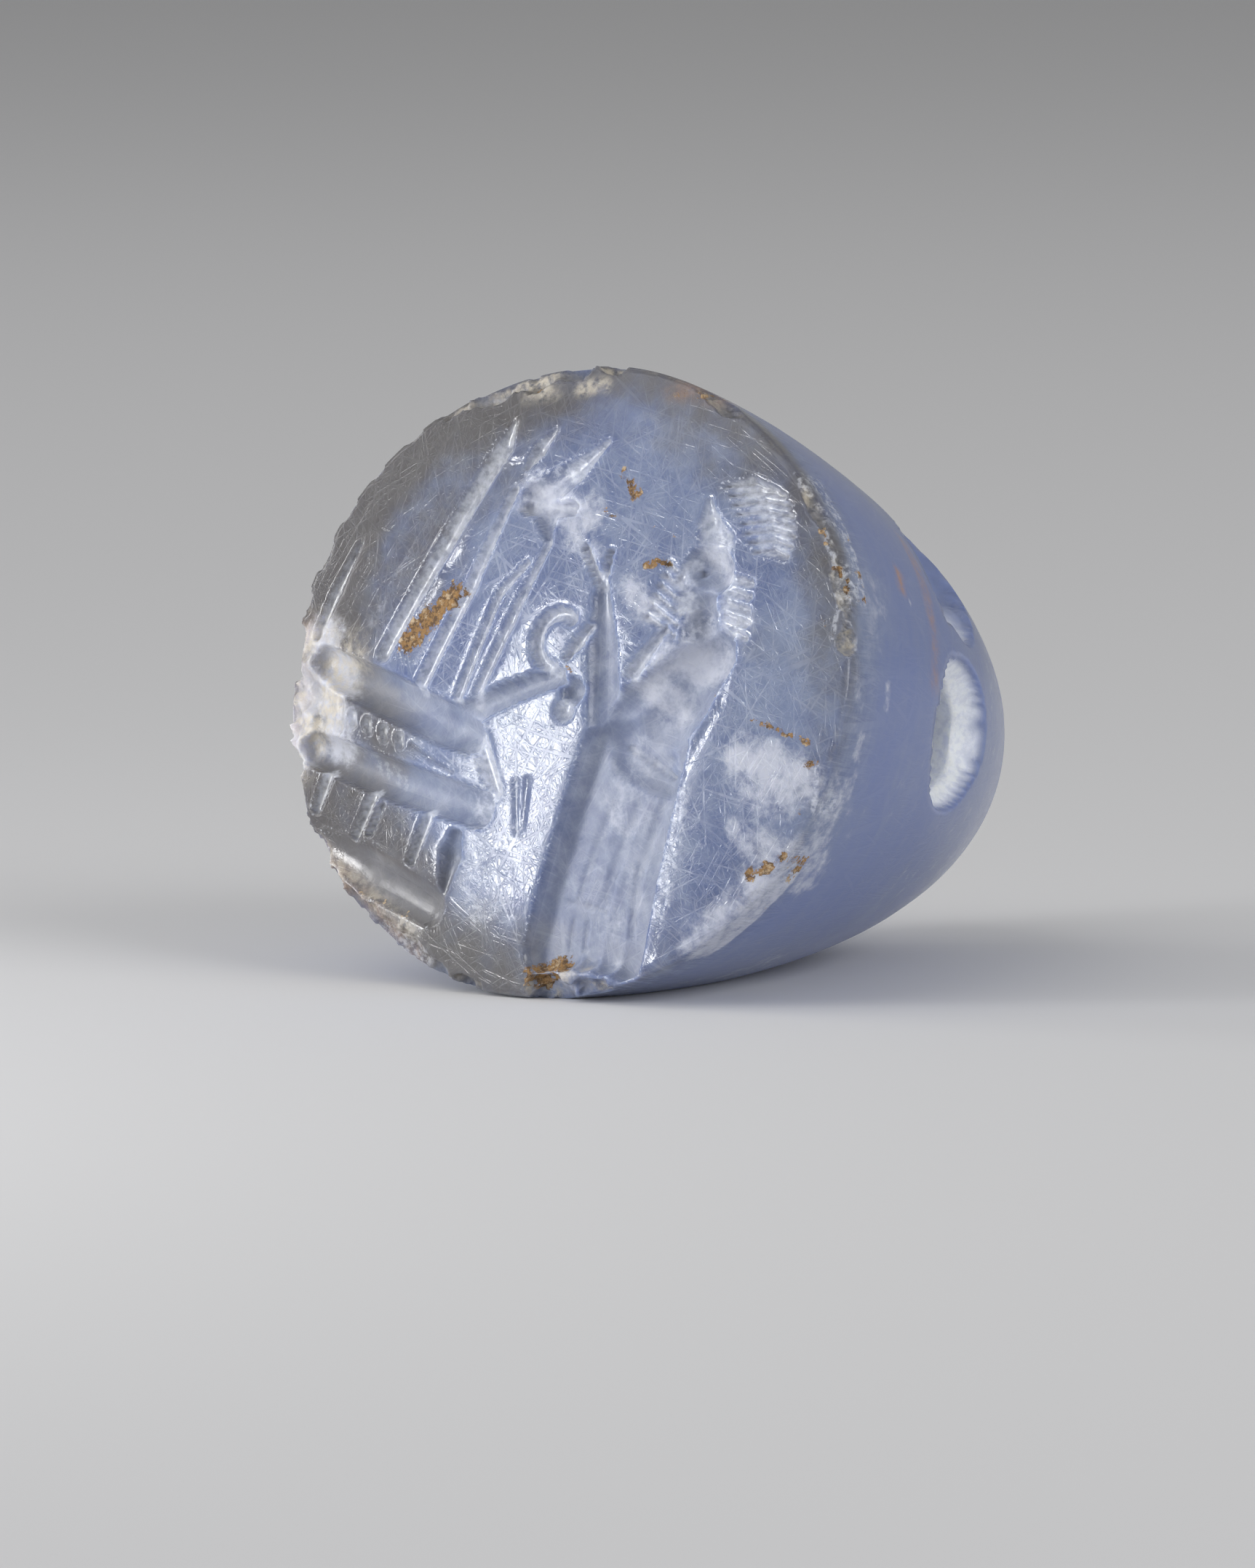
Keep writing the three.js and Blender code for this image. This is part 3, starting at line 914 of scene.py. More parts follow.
@dataclass(frozen=True)
class StainMap:
    """Where the stone is cut, chipped, cloudy, grey, frosted or dirty, and where highlights are painted."""

    form: StoneForm
    hole: CordHole
    scene: EngravedScene

    def dirt(self) -> list[Stain]:
        """Ochre and brown earth in pits, chips and cracks."""
        return face_stains(
            (-6.1, 0.9, -4.3, 2.7, 0.5, 1.12),
            (2.1, 7.1, 2.7, 6.4, 0.3, 0.95),
            (1.3, 5.9, 2.0, 5.6, 0.2, 0.75),
            (3.65, 4.05, 4.3, 4.15, 0.24),
            (3.6, 5.3, 4.6, 5.1, 0.14, 0.7),
            (-2.9, 9.9, -1.9, 10.0, 0.22, 0.75),
            (3.5, 10.0, 5.0, 10.0, 0.25, 0.75),
            (0.4, -10.2, 1.3, -9.8, 0.5),
            (8.4, -1.0, 10.6, -1.6, 0.16, 0.85),
            (10.6, -2.4, 10.9, -2.2, 0.18, 0.9),
            (8.75, -6.2, 9.4, -5.9, 0.3, 0.95),
            (9.6, -5.8, 9.95, -5.4, 0.16, 0.95),
            (10.4, -4.2, 10.5, -4.0, 0.2, 0.7),
            (8.4, -7.0, 8.5, -7.1, 0.16, 0.8),
            (10.65, 4.4, 11.05, 3.4, 0.1, 0.95),
            (10.5, 2.7, 10.75, 2.3, 0.2, 0.75),
            (9.9, 5.7, 10.2, 5.2, 0.14, 0.8),
            (-8.2, -7.4, -5.0, -8.6, 0.3, 0.55),
            (6.4, -0.2, 6.6, -0.4, 0.1, 0.7),
            (0.9, 0.5, 1.2, 0.2, 0.14, 0.75),
        ) + [
            Stain((9.3, 9.9, 3.1), (9.4, 9.7, 2.7), 0.3, 0.6),
            Stain((9.4, 10.9, 2.0), (9.3, 11.0, 1.7), 0.26, 0.8),
        ]

    def rust(self) -> list[Stain]:
        """Orange and reddish tints inside the stone, beside the flake scar and in the rim."""
        return [
            Stain((9.7, 5.2, 4.85), (10.0, 5.1, 4.35), 0.24),
            Stain((8.1, 7.75, 6.2), (8.6, 7.8, 5.6), 0.34, 0.5),
            Stain((8.6, 7.8, 5.6), (9.8, 7.5, 3.5), 0.34, 0.62),
            Stain((9.8, 7.5, 3.5), (10.5, 7.1, 1.4), 0.34, 0.5),
        ] + face_stains(
            (3.3, 10.2, 5.0, 10.1, 0.35, 0.35),
            (-9.8, -6.4, -5.0, -9.8, 0.4, 0.3),
            (-11.2, 1.2, -11.4, -3.0, 0.5, 0.25),
        )

    def clouds(self) -> list[Stain]:
        """Milky clouds in the stone."""
        return face_stains(
            (8.4, -2.3, 10.4, -2.9, 0.9),
            (9.0, -3.3, 9.6, -3.5, 0.9, 0.9),
            (8.5, -5.0, 9.8, -5.6, 0.8, 0.8),
            (10.6, -5.6, 7.0, -8.9, 0.9, 0.9),
            (5.0, 0.9, 6.4, 0.9, 0.9, 0.9),
            (4.2, 0.0, 5.0, -0.9, 0.8, 0.8),
            (3.6, -2.4, 3.0, -4.6, 1.0, 0.6),
            (-1.6, 6.2, 0.8, 5.6, 0.8, 0.9),
            (0.4, 5.0, 1.4, 4.4, 0.7, 0.7),
            (3.2, 3.1, 4.0, 2.5, 0.6, 0.85),
            (5.8, 4.6, 6.6, 4.0, 0.5, 0.8),
            (5.4, 2.0, 7.6, 2.4, 0.8, 0.6),
            (2.9, -9.4, 3.9, -6.8, 1.0, 0.5),
            (-2.4, -2.2, -1.4, -4.0, 0.8, 0.6),
            (-10.2, 0.6, -9.2, -2.4, 1.1),
            (-10.8, -0.6, -11.0, -3.2, 0.9),
        ) + [
            Stain((10.6, 1.2, -4.2), (9.5, 2.6, -6.2), 0.9, 0.75),
            Stain((11.63, 0.7, 1.2), (11.65, 1.0, -0.7), 0.5, 0.5),
            Stain((11.4, 2.95, 0.7), (11.4, 3.1, 0.1), 0.3, 0.66),
            Stain((11.5, 1.6, -1.3), (11.45, 1.7, -1.9), 0.4, 0.62),
            Stain((11.3, 1.85, -2.5), (11.05, 2.0, -3.2), 0.34, 0.68),
            Stain((11.0, 1.7, -3.4), (10.85, 1.75, -3.8), 0.2, 0.8),
            Stain((10.0, 5.3, 4.3), (10.15, 5.5, 3.9), 0.12, 0.9),
            Stain((7.2, 8.6, 6.6), (7.6, 9.6, 6.0), 0.3, 0.9),
            Stain((7.3, 11.0, 5.9), (7.6, 11.4, 5.2), 0.3, 0.8),
            Stain((8.5, 10.5, 4.3), (8.2, 11.6, 4.1), 0.45),
        ]

    def smoke(self) -> list[Stain]:
        """Smoky grey patches inside the stone, away from the left rim."""
        return face_stains(
            (4.2, 8.8, 9.2, 6.6, 1.3, 0.5),
            (-8.6, -4.4, -4.6, -8.0, 1.7, 0.85),
            (-9.2, -0.4, -6.6, -2.6, 1.3, 0.75),
            (-7.0, 3.6, -4.2, 7.8, 2.2, 0.62),
            (-2.6, 8.6, 1.0, 9.2, 1.2, 0.4),
            (7.6, 2.2, 9.6, 1.0, 0.9, 0.3),
        )

    def worn(self) -> list[Stain]:
        """Rough, whitish ground where the rim is worn away."""
        return face_stains(
            (-10.4, 0.5, -9.9, -1.6, 0.9),
            (-10.4, -1.4, -10.9, -3.2, 0.8),
            (-8.6, 0.4, -9.4, -0.4, 0.6, 0.8),
            (-9.4, -6.6, -5.0, -9.2, 0.35, 0.7),
            (-2.7, 9.8, -1.7, 10.0, 0.3),
            (-0.5, 10.1, 0.4, 10.2, 0.25),
            (1.4, -10.3, 2.2, -9.9, 0.3),
        )

    def frost_and_glint(self) -> list[Stain]:
        """Places on the face where dense wear scratches frost the polish, partly painted highlight: the
        patches beside the robe and the thin lines along the right of the rim stand in for highlights.
        """
        return face_stains(
            # the long patch right of the robe and the one left of it are partly painted highlight
            (5.9, -3.6, 5.4, -7.6, 0.5, 0.9),
            (5.4, 1.8, 5.9, 2.2, 0.3),
            (-1.6, 6.9, -0.4, 7.0, 0.3, 0.9),
            (-2.6, -3.0, -2.0, -8.0, 0.9, 0.7),
            (7.6, 6.6, 8.6, 5.6, 0.6, 0.45),
            (-7.2, -9.0, -4.6, -9.8, 0.6, 0.7),
            (-8.6, -2.6, -6.0, -4.0, 0.4, 0.6),
            (-7.9, 1.5, -6.6, 4.0, 0.3, 0.5),
            # painted highlight: thin lines along the ledge of the right rim
            (8.6, 7.5, 9.9, 5.9, 0.09),
            (9.9, 5.9, 10.7, 4.4, 0.09),
            (10.7, 4.4, 11.05, 3.4, 0.2),
            (11.05, 3.4, 11.0, 2.0, 0.09),
            (11.0, -2.4, 10.9, -4.2, 0.09, 0.9),
        )

    def greyness(self, places: Array, share: Array) -> Array:
        """Smoky grey at places: the stone's left, a band round the left of the face, patches and the rim.

        Args:
            places: Points in the stone's frame, in millimetres.
            share: Their distance from the axis as a share of the rim's oval.

        Returns:
            The strongest of the four, each of which fades out along the wall.
        """
        across, station, up = places.T
        band = smooth_step(6.0, -4.0, across) * smooth_step(0.58, 0.93, share)
        grey = np.maximum(smooth_step(-5.0, -9.8, across), band)
        grey = np.maximum(grey, self.strongest(self.smoke(), places)) * smooth_step(2.6, 0.0, station)
        grey *= 1 - 0.45 * smooth_step(0.1, 0.8, station)
        high = smooth_step(-3.0, 5.0, up)
        rim = smooth_step(0.74, 0.98, share) * smooth_step(1.6, 0.2, station) * (0.3 + 0.45 * high)
        return np.maximum(grey, rim)

    def dark_arcs(self, own_across: Array, own_up: Array) -> Array:
        """The upper and lower left of the rim, where the chips stay as dark as the stone, from 0 to 1."""
        angle = np.degrees(np.arctan2(own_up, own_across)) % 360
        upper = smooth_step(108, 118, angle) * smooth_step(168, 158, angle)
        lower = smooth_step(200, 210, angle) * smooth_step(262, 250, angle)
        return np.maximum(upper, lower)

    def fields(self, places: Array) -> dict[str, Array]:
        """Works out every field at the mesh's points.

        Args:
            places: Points in the stone's frame, in millimetres.

        Returns:
            The fields by name, each from 0 to 1 apart from the depth of cut, in millimetres.
        """
        form = self.form
        across, station, up = places.T
        own_across, own_up = form.turned(across, up, -1)
        share = np.hypot(own_across / form.half_width, own_up / form.half_height)
        below = station - form.face_station(share)
        blank = np.maximum(form.girth_share(station), 1e-3)
        sunk = (1 - share / blank) * form.half_width * blank
        engraved = self.scene.depth(across, up)
        lost = np.minimum(below - engraved, sunk)
        chip = smooth_step(0.04, 0.16, lost) * smooth_step(3.0, 1.6, station)
        chip *= 1 - 0.7 * self.dark_arcs(own_across, own_up)
        cut = engraved * smooth_step(FACE_REACH, 1.2, station) * smooth_step(0.02, 0.12, sunk)
        around_bore = np.hypot(station - self.hole.station, up)
        bore_radius = self.hole.diameter / 2
        frost = smooth_step(0.12, 0.45, sunk) * smooth_step(5.5, 3.4, around_bore) * (station > 4)
        bore = smooth_step(bore_radius + 0.35, bore_radius, around_bore) * (sunk > 0.3)
        strokes = self.scene.depth(across, up, (0.12, 0.31))
        fields = {
            "cut": cut,
            "stroke": smooth_step(0.03, 0.16, strokes) * (station < FACE_REACH),
            "chip": np.maximum(chip, 0.9 * self.strongest(self.worn(), places)),
            "frost": np.maximum(frost, bore),
            "grey": self.greyness(places, share),
            "body": smooth_step(0.3, 3.0, station),
        }
        stains = {"dirt": self.dirt, "rust": self.rust, "cloud": self.clouds, "frost_and_glint": self.frost_and_glint}
        return fields | {name: self.strongest(listed(), places) for name, listed in stains.items()}

    def strongest(self, stains: list[Stain], places: Array) -> Array:
        """The strength of whichever stain is strongest at each place."""
        return np.max([stain.reach(places) for stain in stains], axis=0)


@dataclass(frozen=True)
class Wire:
    """A node's output that takes part in sums, so that shader maths reads as plain expressions."""

    book: "ShaderBook"
    socket: bpy.types.NodeSocket

    def __add__(self, other: "Wire | float") -> "Wire":
        """Sum."""
        return self.book.maths("ADD", self, other)

    def __radd__(self, other: float) -> "Wire":
        """Sum with a number in front."""
        return self.book.maths("ADD", other, self)

    def __sub__(self, other: "Wire | float") -> "Wire":
        """Difference."""
        return self.book.maths("SUBTRACT", self, other)

    def __rsub__(self, other: float) -> "Wire":
        """Difference from a number."""
        return self.book.maths("SUBTRACT", other, self)

    def __mul__(self, other: "Wire | float") -> "Wire":
        """Product."""
        return self.book.maths("MULTIPLY", self, other)

    def __rmul__(self, other: float) -> "Wire":
        """Product with a number in front."""
        return self.book.maths("MULTIPLY", other, self)


class ShaderBook:
    """The nodes of one material, with short calls for the kinds of node that the finishes use."""

    def __init__(self, name: str) -> None:
        """Starts an empty material."""
        self.material = bpy.data.materials.new(name)
        self.material.use_nodes = True
        self.tree = self.material.node_tree
        self.tree.nodes.clear()

    def node(self, kind: str, settings: dict | None = None, values: dict | None = None) -> bpy.types.Node:
        """Adds a node.

        Args:
            kind: The node's type.
            settings: Its own settings, which are set first.
            values: Numbers, colours or wires for its inputs, by name or number.

        Returns:
            The node.
        """
        made = self.tree.nodes.new(kind)
        for key, value in (settings or {}).items():
            setattr(made, key, value)
        for key, value in (values or {}).items():
            if isinstance(value, Wire):
                self.tree.links.new(value.socket, made.inputs[key])
            else:
                made.inputs[key].default_value = value
        return made

    def out(self, node: bpy.types.Node, key: str | int = 0) -> Wire:
        """A node's output as a wire."""
        return Wire(self, node.outputs[key])

    def maths(self, operation: str, *values: Wire | float) -> Wire:
        """A Math node on wires and numbers."""
        return self.out(self.node("ShaderNodeMath", {"operation": operation}, dict(enumerate(values))))

    def step(self, low: float, high: float, value: Wire) -> Wire:
        """A smooth rise from 0 at low to 1 at high."""
        settings = {"interpolation_type": "SMOOTHSTEP"}
        return self.out(
            self.node("ShaderNodeMapRange", settings, {"Value": value, "From Min": low, "From Max": high})
        )

    def field(self, name: str) -> Wire:
        """A point attribute of the mesh."""
        return self.out(self.node("ShaderNodeAttribute", {"attribute_name": name}), "Fac")

    def mapped(self, place: Wire, values: dict, kind: str = "POINT") -> Wire:
        """A place moved, turned and scaled by the values of a Mapping node."""
        settings = {"vector_type": kind}
        return self.out(self.node("ShaderNodeMapping", settings, {"Vector": place, **values}))

    def noise(self, place: Wire, scale: float, detail: float = 2, roughness: float = 0.5) -> Wire:
        """Noise from 0 to 1 at a place."""
        values = {"Vector": place, "Scale": scale, "Detail": detail, "Roughness": roughness}
        return self.out(self.node("ShaderNodeTexNoise", {}, values), "Fac")

    def blend(self, share: Wire | float, first: Wire | tuple, second: Wire | tuple) -> Wire:
        """A colour between two, by a share."""
        ends = [end if isinstance(end, Wire) else (*end, 1) for end in (first, second)]
        values = {0: share, 6: ends[0], 7: ends[1]}
        return self.out(self.node("ShaderNodeMix", {"data_type": "RGBA"}, values), 2)

    def level(self, share: Wire, first: Wire | float, second: Wire | float) -> Wire:
        """A number between two, by a share."""
        return self.out(self.node("ShaderNodeMix", {"data_type": "FLOAT"}, {0: share, 2: first, 3: second}))

    def finish(self, shader: bpy.types.Node) -> bpy.types.Material:
        """Joins a shader to the material's output.

        Args:
            shader: The shader node.

        Returns:
            The material.
        """
        output = self.node("ShaderNodeOutputMaterial")
        self.tree.links.new(shader.outputs[0], output.inputs["Surface"])
        return self.material


@dataclass(frozen=True)
class StoneMarks:
    """The patterns and fields that the stone's colour, roughness and relief share.

    The place is the stone's own frame in millimetres, cut is a depth in millimetres, and the rest run
    from 0 to 1.
    """

    book: ShaderBook
    place: Wire
    broad: Wire
    middling: Wire
    fine: Wire
    wisps: Wire
    crumbs: Wire
    body: Wire
    cut: Wire
    in_cut: Wire
    chip: Wire
    frost: Wire
    grey: Wire
    frost_and_glint: Wire
    web: Wire
    cloud: Wire
    dirt: Wire


@dataclass(frozen=True)
class ChalcedonyFinish:
    """Translucent blue-grey chalcedony: polished and scratched, softly frosted where it is cut, with
    painted highlights and painted light in the cuts.
    """

    form: StoneForm
    shift: Triple
    deep_blue: Triple = (0.13, 0.168, 0.305)
    pale_blue: Triple = (0.245, 0.29, 0.41)
    body_blue: Triple = (0.17, 0.22, 0.425)
    smoky: Triple = (0.12, 0.107, 0.088)
    misty: Triple = (0.27, 0.29, 0.30)
    milky: Triple = (0.62, 0.64, 0.72)
    frosted: Triple = (0.86, 0.89, 0.96)
    chipped: Triple = (0.62, 0.565, 0.47)
    rusty: Triple = (0.45, 0.24, 0.13)
    ochre: Triple = (0.31, 0.18, 0.068)
    umber: Triple = (0.12, 0.07, 0.035)
    sandy: Triple = (0.5, 0.39, 0.26)

    def own_place(self, book: ShaderBook) -> Wire:
        """The stone's own frame in millimetres, from the object's coordinates.

        Args:
            book: The material's nodes.

        Returns:
            Across, station and up as a vector.
        """
        form = self.form
        origin = np.array([self.shift]) - [0, 0, form.flat_level()]
        values = {
            "Location": (-form.tipped(origin, -form.lying_tilt)[0]).tolist(),
            "Rotation": (math.radians(form.lying_tilt), 0, 0),
            "Scale": (1 / MILLIMETRE,) * 3,
        }
        return book.mapped(book.out(book.node("ShaderNodeTexCoord"), "Object"), values)

    def scratches(
        self, place: Wire, turns: tuple[float, ...], size: tuple[float, float], level: float
    ) -> Wire:
        """Thin straight scratches in several directions.

        Each direction is noise drawn out along it, of which only the highest ridges are kept.

        Args:
            place: The stone's own frame.
            turns: The directions, in degrees in the plane of the face.
            size: How far the noise is drawn out along a scratch and across it, in millimetres.
            level: The height from which a ridge is kept.

        Returns:
            Their strength from 0 to 1.
        """
        book = place.book
        total: Wire | float = 0.0
        for index, turn in enumerate(turns):
            values = {
                "Location": (7.0 * index, 0, 3.0 * index),
                "Rotation": (0, math.radians(turn), 0),
                "Scale": (size[0], 3.0, size[1]),
            }
            along = book.mapped(place, values, "TEXTURE")
            ridge = book.step(level, level + 0.06, book.noise(along, 1.0, 0.0))
            total = book.maths("MAXIMUM", total, ridge)
        return total

    def material(self) -> bpy.types.Material:
        """Makes the material.

        Returns:
            The finished chalcedony.
        """
        book = ShaderBook("chalcedony")
        place = self.own_place(book)
        marks = self.marks(book, place)
        values = {
            "Base Color": self.colour(marks),
            "Roughness": self.roughness(marks),
            "Normal": self.relief(marks),
            "IOR": 1.54,
            "Subsurface Weight": 1.0,
            "Subsurface Radius": (1.0, 1.05, 1.25),
            "Subsurface Scale": 0.0004,
        }
        return book.finish(book.node("ShaderNodeBsdfPrincipled", {}, values))

    def marks(self, book: ShaderBook, place: Wire) -> StoneMarks:
        """Makes the shared patterns.

        Args:
            book: The material's nodes.
            place: The stone's own frame.

        Returns:
            The patterns, with the mesh's fields broken up by noise where their borders are ragged.
        """
        cut = book.field("cut")
        middling = book.noise(place, 0.8, 4, 0.6)
        wisps = book.noise(place, 1.5, 6, 0.68)
        crumbs = book.noise(place, 2.6, 5, 0.7)
        grey = book.step(0.1, 0.95, book.field("grey") + (middling - 0.5) * 0.7)
        deep_web = self.scratches(place, (12, 33, 61, 84, 118, 151), (3.4, 0.11), 0.68)
        fine_web = self.scratches(place, (22, 47, 72, 99, 133, 164), (1.6, 0.06), 0.66)
        web = book.maths("MAXIMUM", deep_web, fine_web * 0.6)
        return StoneMarks(
            book=book,
            place=place,
            broad=book.noise(place, 0.16, 3),
            middling=middling,
            fine=book.noise(place, 4.0, 4, 0.6),
            wisps=wisps,
            crumbs=crumbs,
            body=book.field("body"),
            cut=cut,
            in_cut=book.step(0.06, 0.35, cut),
            chip=book.field("chip"),
            frost=book.field("frost"),
            grey=grey,
            frost_and_glint=book.step(0.3, 0.9, book.field("frost_and_glint") * (0.5 + middling)),
            web=web * (0.5 + 0.5 * book.step(0.42, 0.58, middling)) * (1 - 0.7 * grey),
            cloud=book.step(0.32, 0.8, book.field("cloud") * 0.75 + (wisps - 0.5) * 1.1),
            dirt=book.step(0.5, 0.56, book.field("dirt") * 0.62 + (crumbs - 0.5) * 1.5),
        )

    def clear_stone(self, marks: StoneMarks) -> Wire:
        """The stone's own colour: mottled blue on the face, banded and veiled on the body, and smoky grey.

        Args:
            marks: The shared patterns.

        Returns:
            The colour before clouds, wear and dirt.
        """
        book = marks.book
        mottle = book.step(0.36, 0.64, marks.broad * 0.5 + marks.wisps * 0.5)
        rings = book.noise(book.mapped(marks.place, {"Scale": (0.5, 2.4, 0.5)}), 1.0, 3)
        bands = book.step(0.38, 0.66, marks.broad * 0.65 + rings * 0.15 + marks.wisps * 0.2)
        body_colour = book.blend(bands * 0.55, self.body_blue, self.pale_blue)
        colour = book.blend(marks.body, book.blend(mottle, self.deep_blue, self.pale_blue), body_colour)
        veils = book.step(0.56, 0.72, marks.wisps * 0.5 + marks.broad * 0.5) * marks.body * 0.45
        colour = book.blend(veils, colour, self.milky)
        smoke = book.blend(marks.body, self.smoky, self.misty)
        return book.blend(marks.grey * (0.85 - 0.3 * marks.body), colour, smoke)

    def colour(self, marks: StoneMarks) -> Wire:
        """The stone's colour with clouds, cuts, painted light and highlights, chips, scratches, frosting
        and earth laid over it in turn.

        Args:
            marks: The shared patterns.

        Returns:
            The finished colour.
        """
        book = marks.book
        middling, fine = marks.middling, marks.fine
        # milky floors of the frosted cuts, partly painted light: their pallor also lifts the shade in the
        # narrow slots
        softened = marks.in_cut * (0.1 + 0.24 * book.step(0.35, 0.7, middling)) * (1 - 0.5 * marks.grey)
        rust = book.field("rust") * (0.15 + 0.7 * book.step(0.36, 0.64, marks.wisps))
        stroke = book.field("stroke") * (0.14 + 0.34 * book.step(0.3, 0.65, fine))
        # painted highlight: frosted specks along the shallow shoulder beside every cut stand in for glints
        # on the worn edges
        shoulder = book.step(0.004, 0.012, marks.cut) * (1 - book.step(0.03, 0.12, marks.cut))
        glints = book.step(0.56, 0.66, book.noise(marks.place, 9.0, 2)) * book.step(0.4, 0.6, middling)
        patchy = marks.chip * (0.25 + 0.75 * book.step(0.42, 0.6, middling))
        clods = book.step(0.42, 0.56, book.noise(marks.place, 5.0, 4, 0.7))
        earth = book.blend(clods, self.umber, self.ochre)
        earth = book.blend(book.step(0.55, 0.66, marks.crumbs), earth, self.sandy)
        layers = (
            (marks.cloud * 0.8, self.milky),
            # frosted cut floors, partly painted light in the slots
            (softened, self.milky),
            (rust, self.rusty),
            (stroke, self.frosted),
            # painted highlight along the edges of the cuts
            (shoulder * glints * 0.5, self.frosted),
            (patchy * book.step(0.3, 0.6, fine) * 0.85, self.chipped),
            # partly painted highlight: frosted where scratches are dense, beside the robe and along the
            # right rim
            (marks.frost_and_glint * book.step(0.45, 0.62, fine) * 0.4, self.frosted),
            (marks.web * (1 - marks.body * 0.8) * 0.09, self.frosted),
            (marks.frost * (0.82 + 0.18 * book.step(0.35, 0.6, fine)), self.frosted),
            (marks.dirt, earth),
        )
        colour = self.clear_stone(marks)
        for share, layer in layers:
            colour = book.blend(share, colour, layer)
        return colour

    def roughness(self, marks: StoneMarks) -> Wire:
        """The polish of the face, roughened by scratches, and over it the duller kinds of ground in turn.

        Args:
            marks: The shared patterns.

        Returns:
            The roughness.
        """
        book = marks.book
        rough = 0.065 + marks.web * 0.22 + marks.frost_and_glint * 0.14
        layers = (
            (marks.in_cut, 0.2),
            (book.step(0.3, 0.5, marks.cut), 0.48),
            (marks.body, 0.2),
            (marks.chip, 0.38),
            (marks.frost, 0.42),
            (marks.dirt, 0.85),
        )
        for share, dullness in layers:
            rough = book.level(share, rough, dullness)
        return rough

    def relief(self, marks: StoneMarks) -> Wire:
        """Bumps finer than the mesh: scratches, grains in rough ground and the crust of earth.

        Args:
            marks: The shared patterns.

        Returns:
            The bumped normal.
        """
        book = marks.book
        in_cut = marks.in_cut
        ground = 0.1 + in_cut * 0.3 + marks.frost * 1.6 + marks.chip * 1.2 + marks.frost_and_glint * 0.9
        scored = marks.web * (1 - in_cut * 0.7) * (1 - marks.body * 0.8) * -1.3
        height = scored + book.noise(marks.place, 12.0, 3) * ground + marks.dirt * 1.2
        values = {"Strength": 0.6, "Distance": 0.00002, "Height": height}
        return book.out(book.node("ShaderNodeBump", {}, values))


@dataclass(frozen=True)
class FloorFinish:
    """The plain pale floor."""

    colour: Triple = (0.78, 0.78, 0.79)

    def material(self) -> bpy.types.Material:
        """Makes the floor's matt material."""
        book = ShaderBook("pale_floor")
        values = {"Base Color": (*self.colour, 1), "Roughness": 0.8, "Specular IOR Level": 0.1}
        return book.finish(book.node("ShaderNodeBsdfPrincipled", {}, values))


@dataclass(frozen=True)
class Softbox:
    """A soft lamp that faces the stone, placed by azimuth and elevation as seen from it."""

    name: str
    azimuth: float
    elevation: float
    distance: float
    width: float
    height: float
    power: float

    def hang(self, target: Vector) -> bpy.types.Object:
        """Makes the lamp.

        Args:
            target: The point that it faces.

        Returns:
            The lamp.
        """
        way = direction(self.azimuth, self.elevation)
        lamp = bpy.data.lights.new(self.name, "AREA")
        lamp.shape = "RECTANGLE"
        lamp.size, lamp.size_y = self.width, self.height
        lamp.energy = self.power
        hung = placed(self.name, lamp)
        hung.location = target + way * self.distance
        hung.rotation_euler = way.to_track_quat("Z", "Y").to_euler()
        return hung


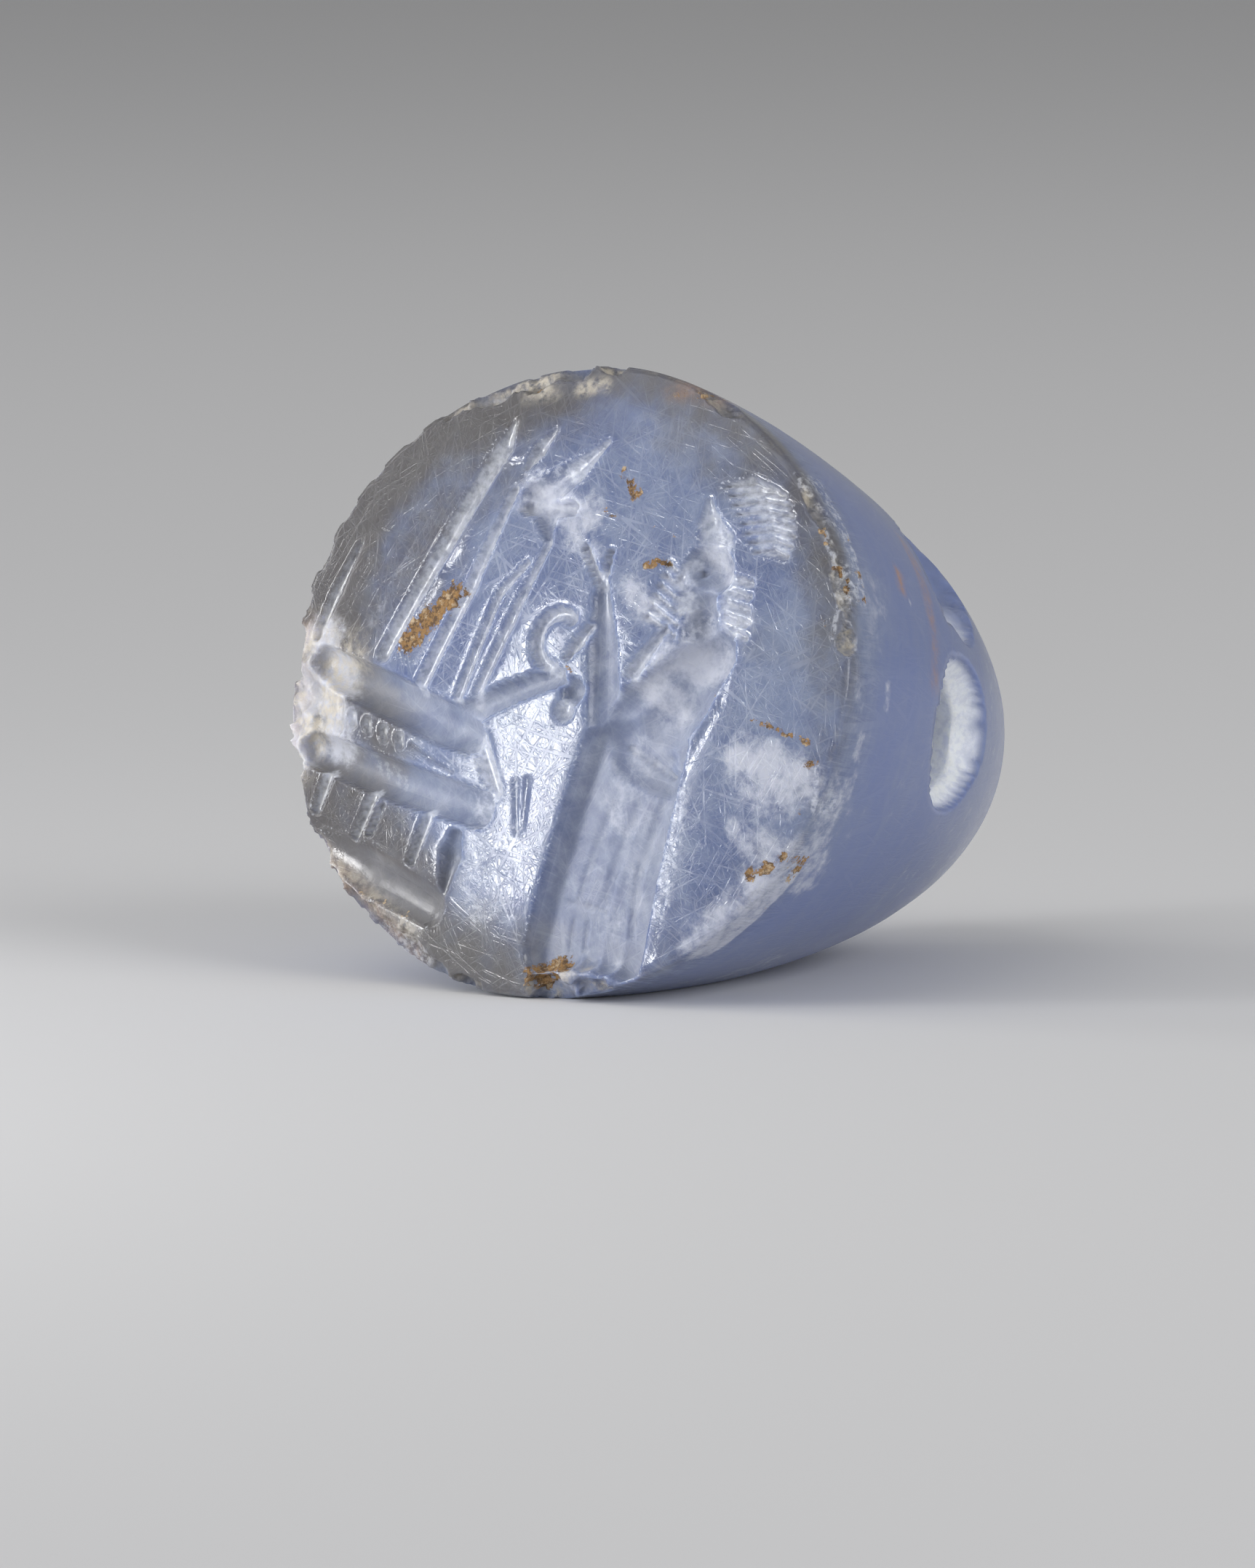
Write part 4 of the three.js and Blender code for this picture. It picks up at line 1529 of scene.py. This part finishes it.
@dataclass(frozen=True)
class Studio:
    """The floor, the lamps and the camera, which looks at the stone from where the photographer stood."""

    image_width: int = 1725
    image_height: int = 2156
    azimuth: float = 35.35
    elevation: float = 5.8
    rim_distance: float = 320.0
    pixels_per_mm: float = 40.1
    rim_pixel: tuple[float, float] = (771.8, 934.5)
    sensor: float = 36.0
    floor_half: float = 4.0
    lamp_aim: float = 10.0
    surround: float = 0.3

    def camera(self, rim_middle: Vector) -> bpy.types.Object:
        """Sets the camera so that the middle of the rim falls on its pixel at its distance.

        Args:
            rim_middle: The middle of the rim, in metres in the row frame.

        Returns:
            The camera.
        """
        turn = math.radians(self.azimuth)
        right = Vector((math.cos(turn), math.sin(turn), 0))
        back = direction(self.azimuth, self.elevation)
        up = back.cross(right)
        aside = (self.rim_pixel[0] - self.image_width / 2) / self.pixels_per_mm * MILLIMETRE
        below = (self.rim_pixel[1] - self.image_height / 2) / self.pixels_per_mm * MILLIMETRE
        lens = bpy.data.cameras.new("photograph")
        lens.sensor_width = self.sensor
        lens.lens = self.pixels_per_mm * self.rim_distance / self.image_height * self.sensor
        lens.clip_start = 0.01
        camera = placed("photograph", lens)
        place = rim_middle - aside * right + below * up + self.rim_distance * MILLIMETRE * back
        turned = Matrix((right, up, back)).transposed().to_4x4()
        camera.matrix_world = Matrix.Translation(place) @ turned
        bpy.context.scene.camera = camera
        return camera

    def floor(self) -> bpy.types.Object:
        """Lays the floor."""
        corners = np.array([[-1.0, -1.0, 0.0], [1.0, -1.0, 0.0], [1.0, 1.0, 0.0], [-1.0, 1.0, 0.0]])
        mesh = mesh_of("floor", corners * self.floor_half, [(0, 1, 2, 3)])
        mesh.materials.append(FloorFinish().material())
        floor = placed("floor", mesh)
        return floor

    def light(self, rim_middle: Vector) -> None:
        """Hangs the lamps, which face the middle of the stone, and sets the even surround.

        Args:
            rim_middle: The middle of the rim, in metres in the row frame.
        """
        target = rim_middle + Vector((0, self.lamp_aim * MILLIMETRE, 0))
        lamps = (
            Softbox("tall_window", -33, 6.2, 0.12, 0.023, 0.046, 0.068),
            Softbox("side_window", -22.5, 3.5, 0.12, 0.02, 0.034, 0.012),
            Softbox("high_front", -20, 54, 1.5, 1.2, 1.2, 4.5),
            Softbox("right_side", 84, 22, 0.8, 0.5, 0.5, 2.9),
            Softbox("low_left", -75, 18, 0.8, 0.3, 0.3, 0.8),
        )
        for lamp in lamps:
            lamp.hang(target)
        world = bpy.data.worlds.new("surround")
        world.use_nodes = True
        shade = world.node_tree.nodes["Background"]
        shade.inputs["Color"].default_value = (self.surround, self.surround, self.surround, 1)
        bpy.context.scene.world = world
        bpy.context.scene.view_settings.view_transform = "Standard"


def main() -> None:
    """Builds the seal, dresses it and sets the studio."""
    logging.basicConfig(level=logging.INFO, format="%(message)s")
    form = StoneForm()
    hole = CordHole(form)
    seal = CarvedSeal(form, EngravedScene(form), hole, Wear(form))
    stone = seal.build()
    stone.data.materials.append(ChalcedonyFinish(form, tuple(seal.shift)).material())
    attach(stone, "root")
    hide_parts("seal_stone")
    LOG.info("carved_seal: %d points, %d faces", len(stone.data.vertices), len(stone.data.polygons))
    studio = Studio()
    rim = form.laid(np.zeros((1, 3)))[0] + seal.shift
    rim_middle = Vector(rim * MILLIMETRE)
    studio.camera(rim_middle)
    studio.floor()
    studio.light(rim_middle)
    LOG.info("studio: floor, lamps and camera set")


if __name__ == "__main__":
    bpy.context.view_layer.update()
    main()
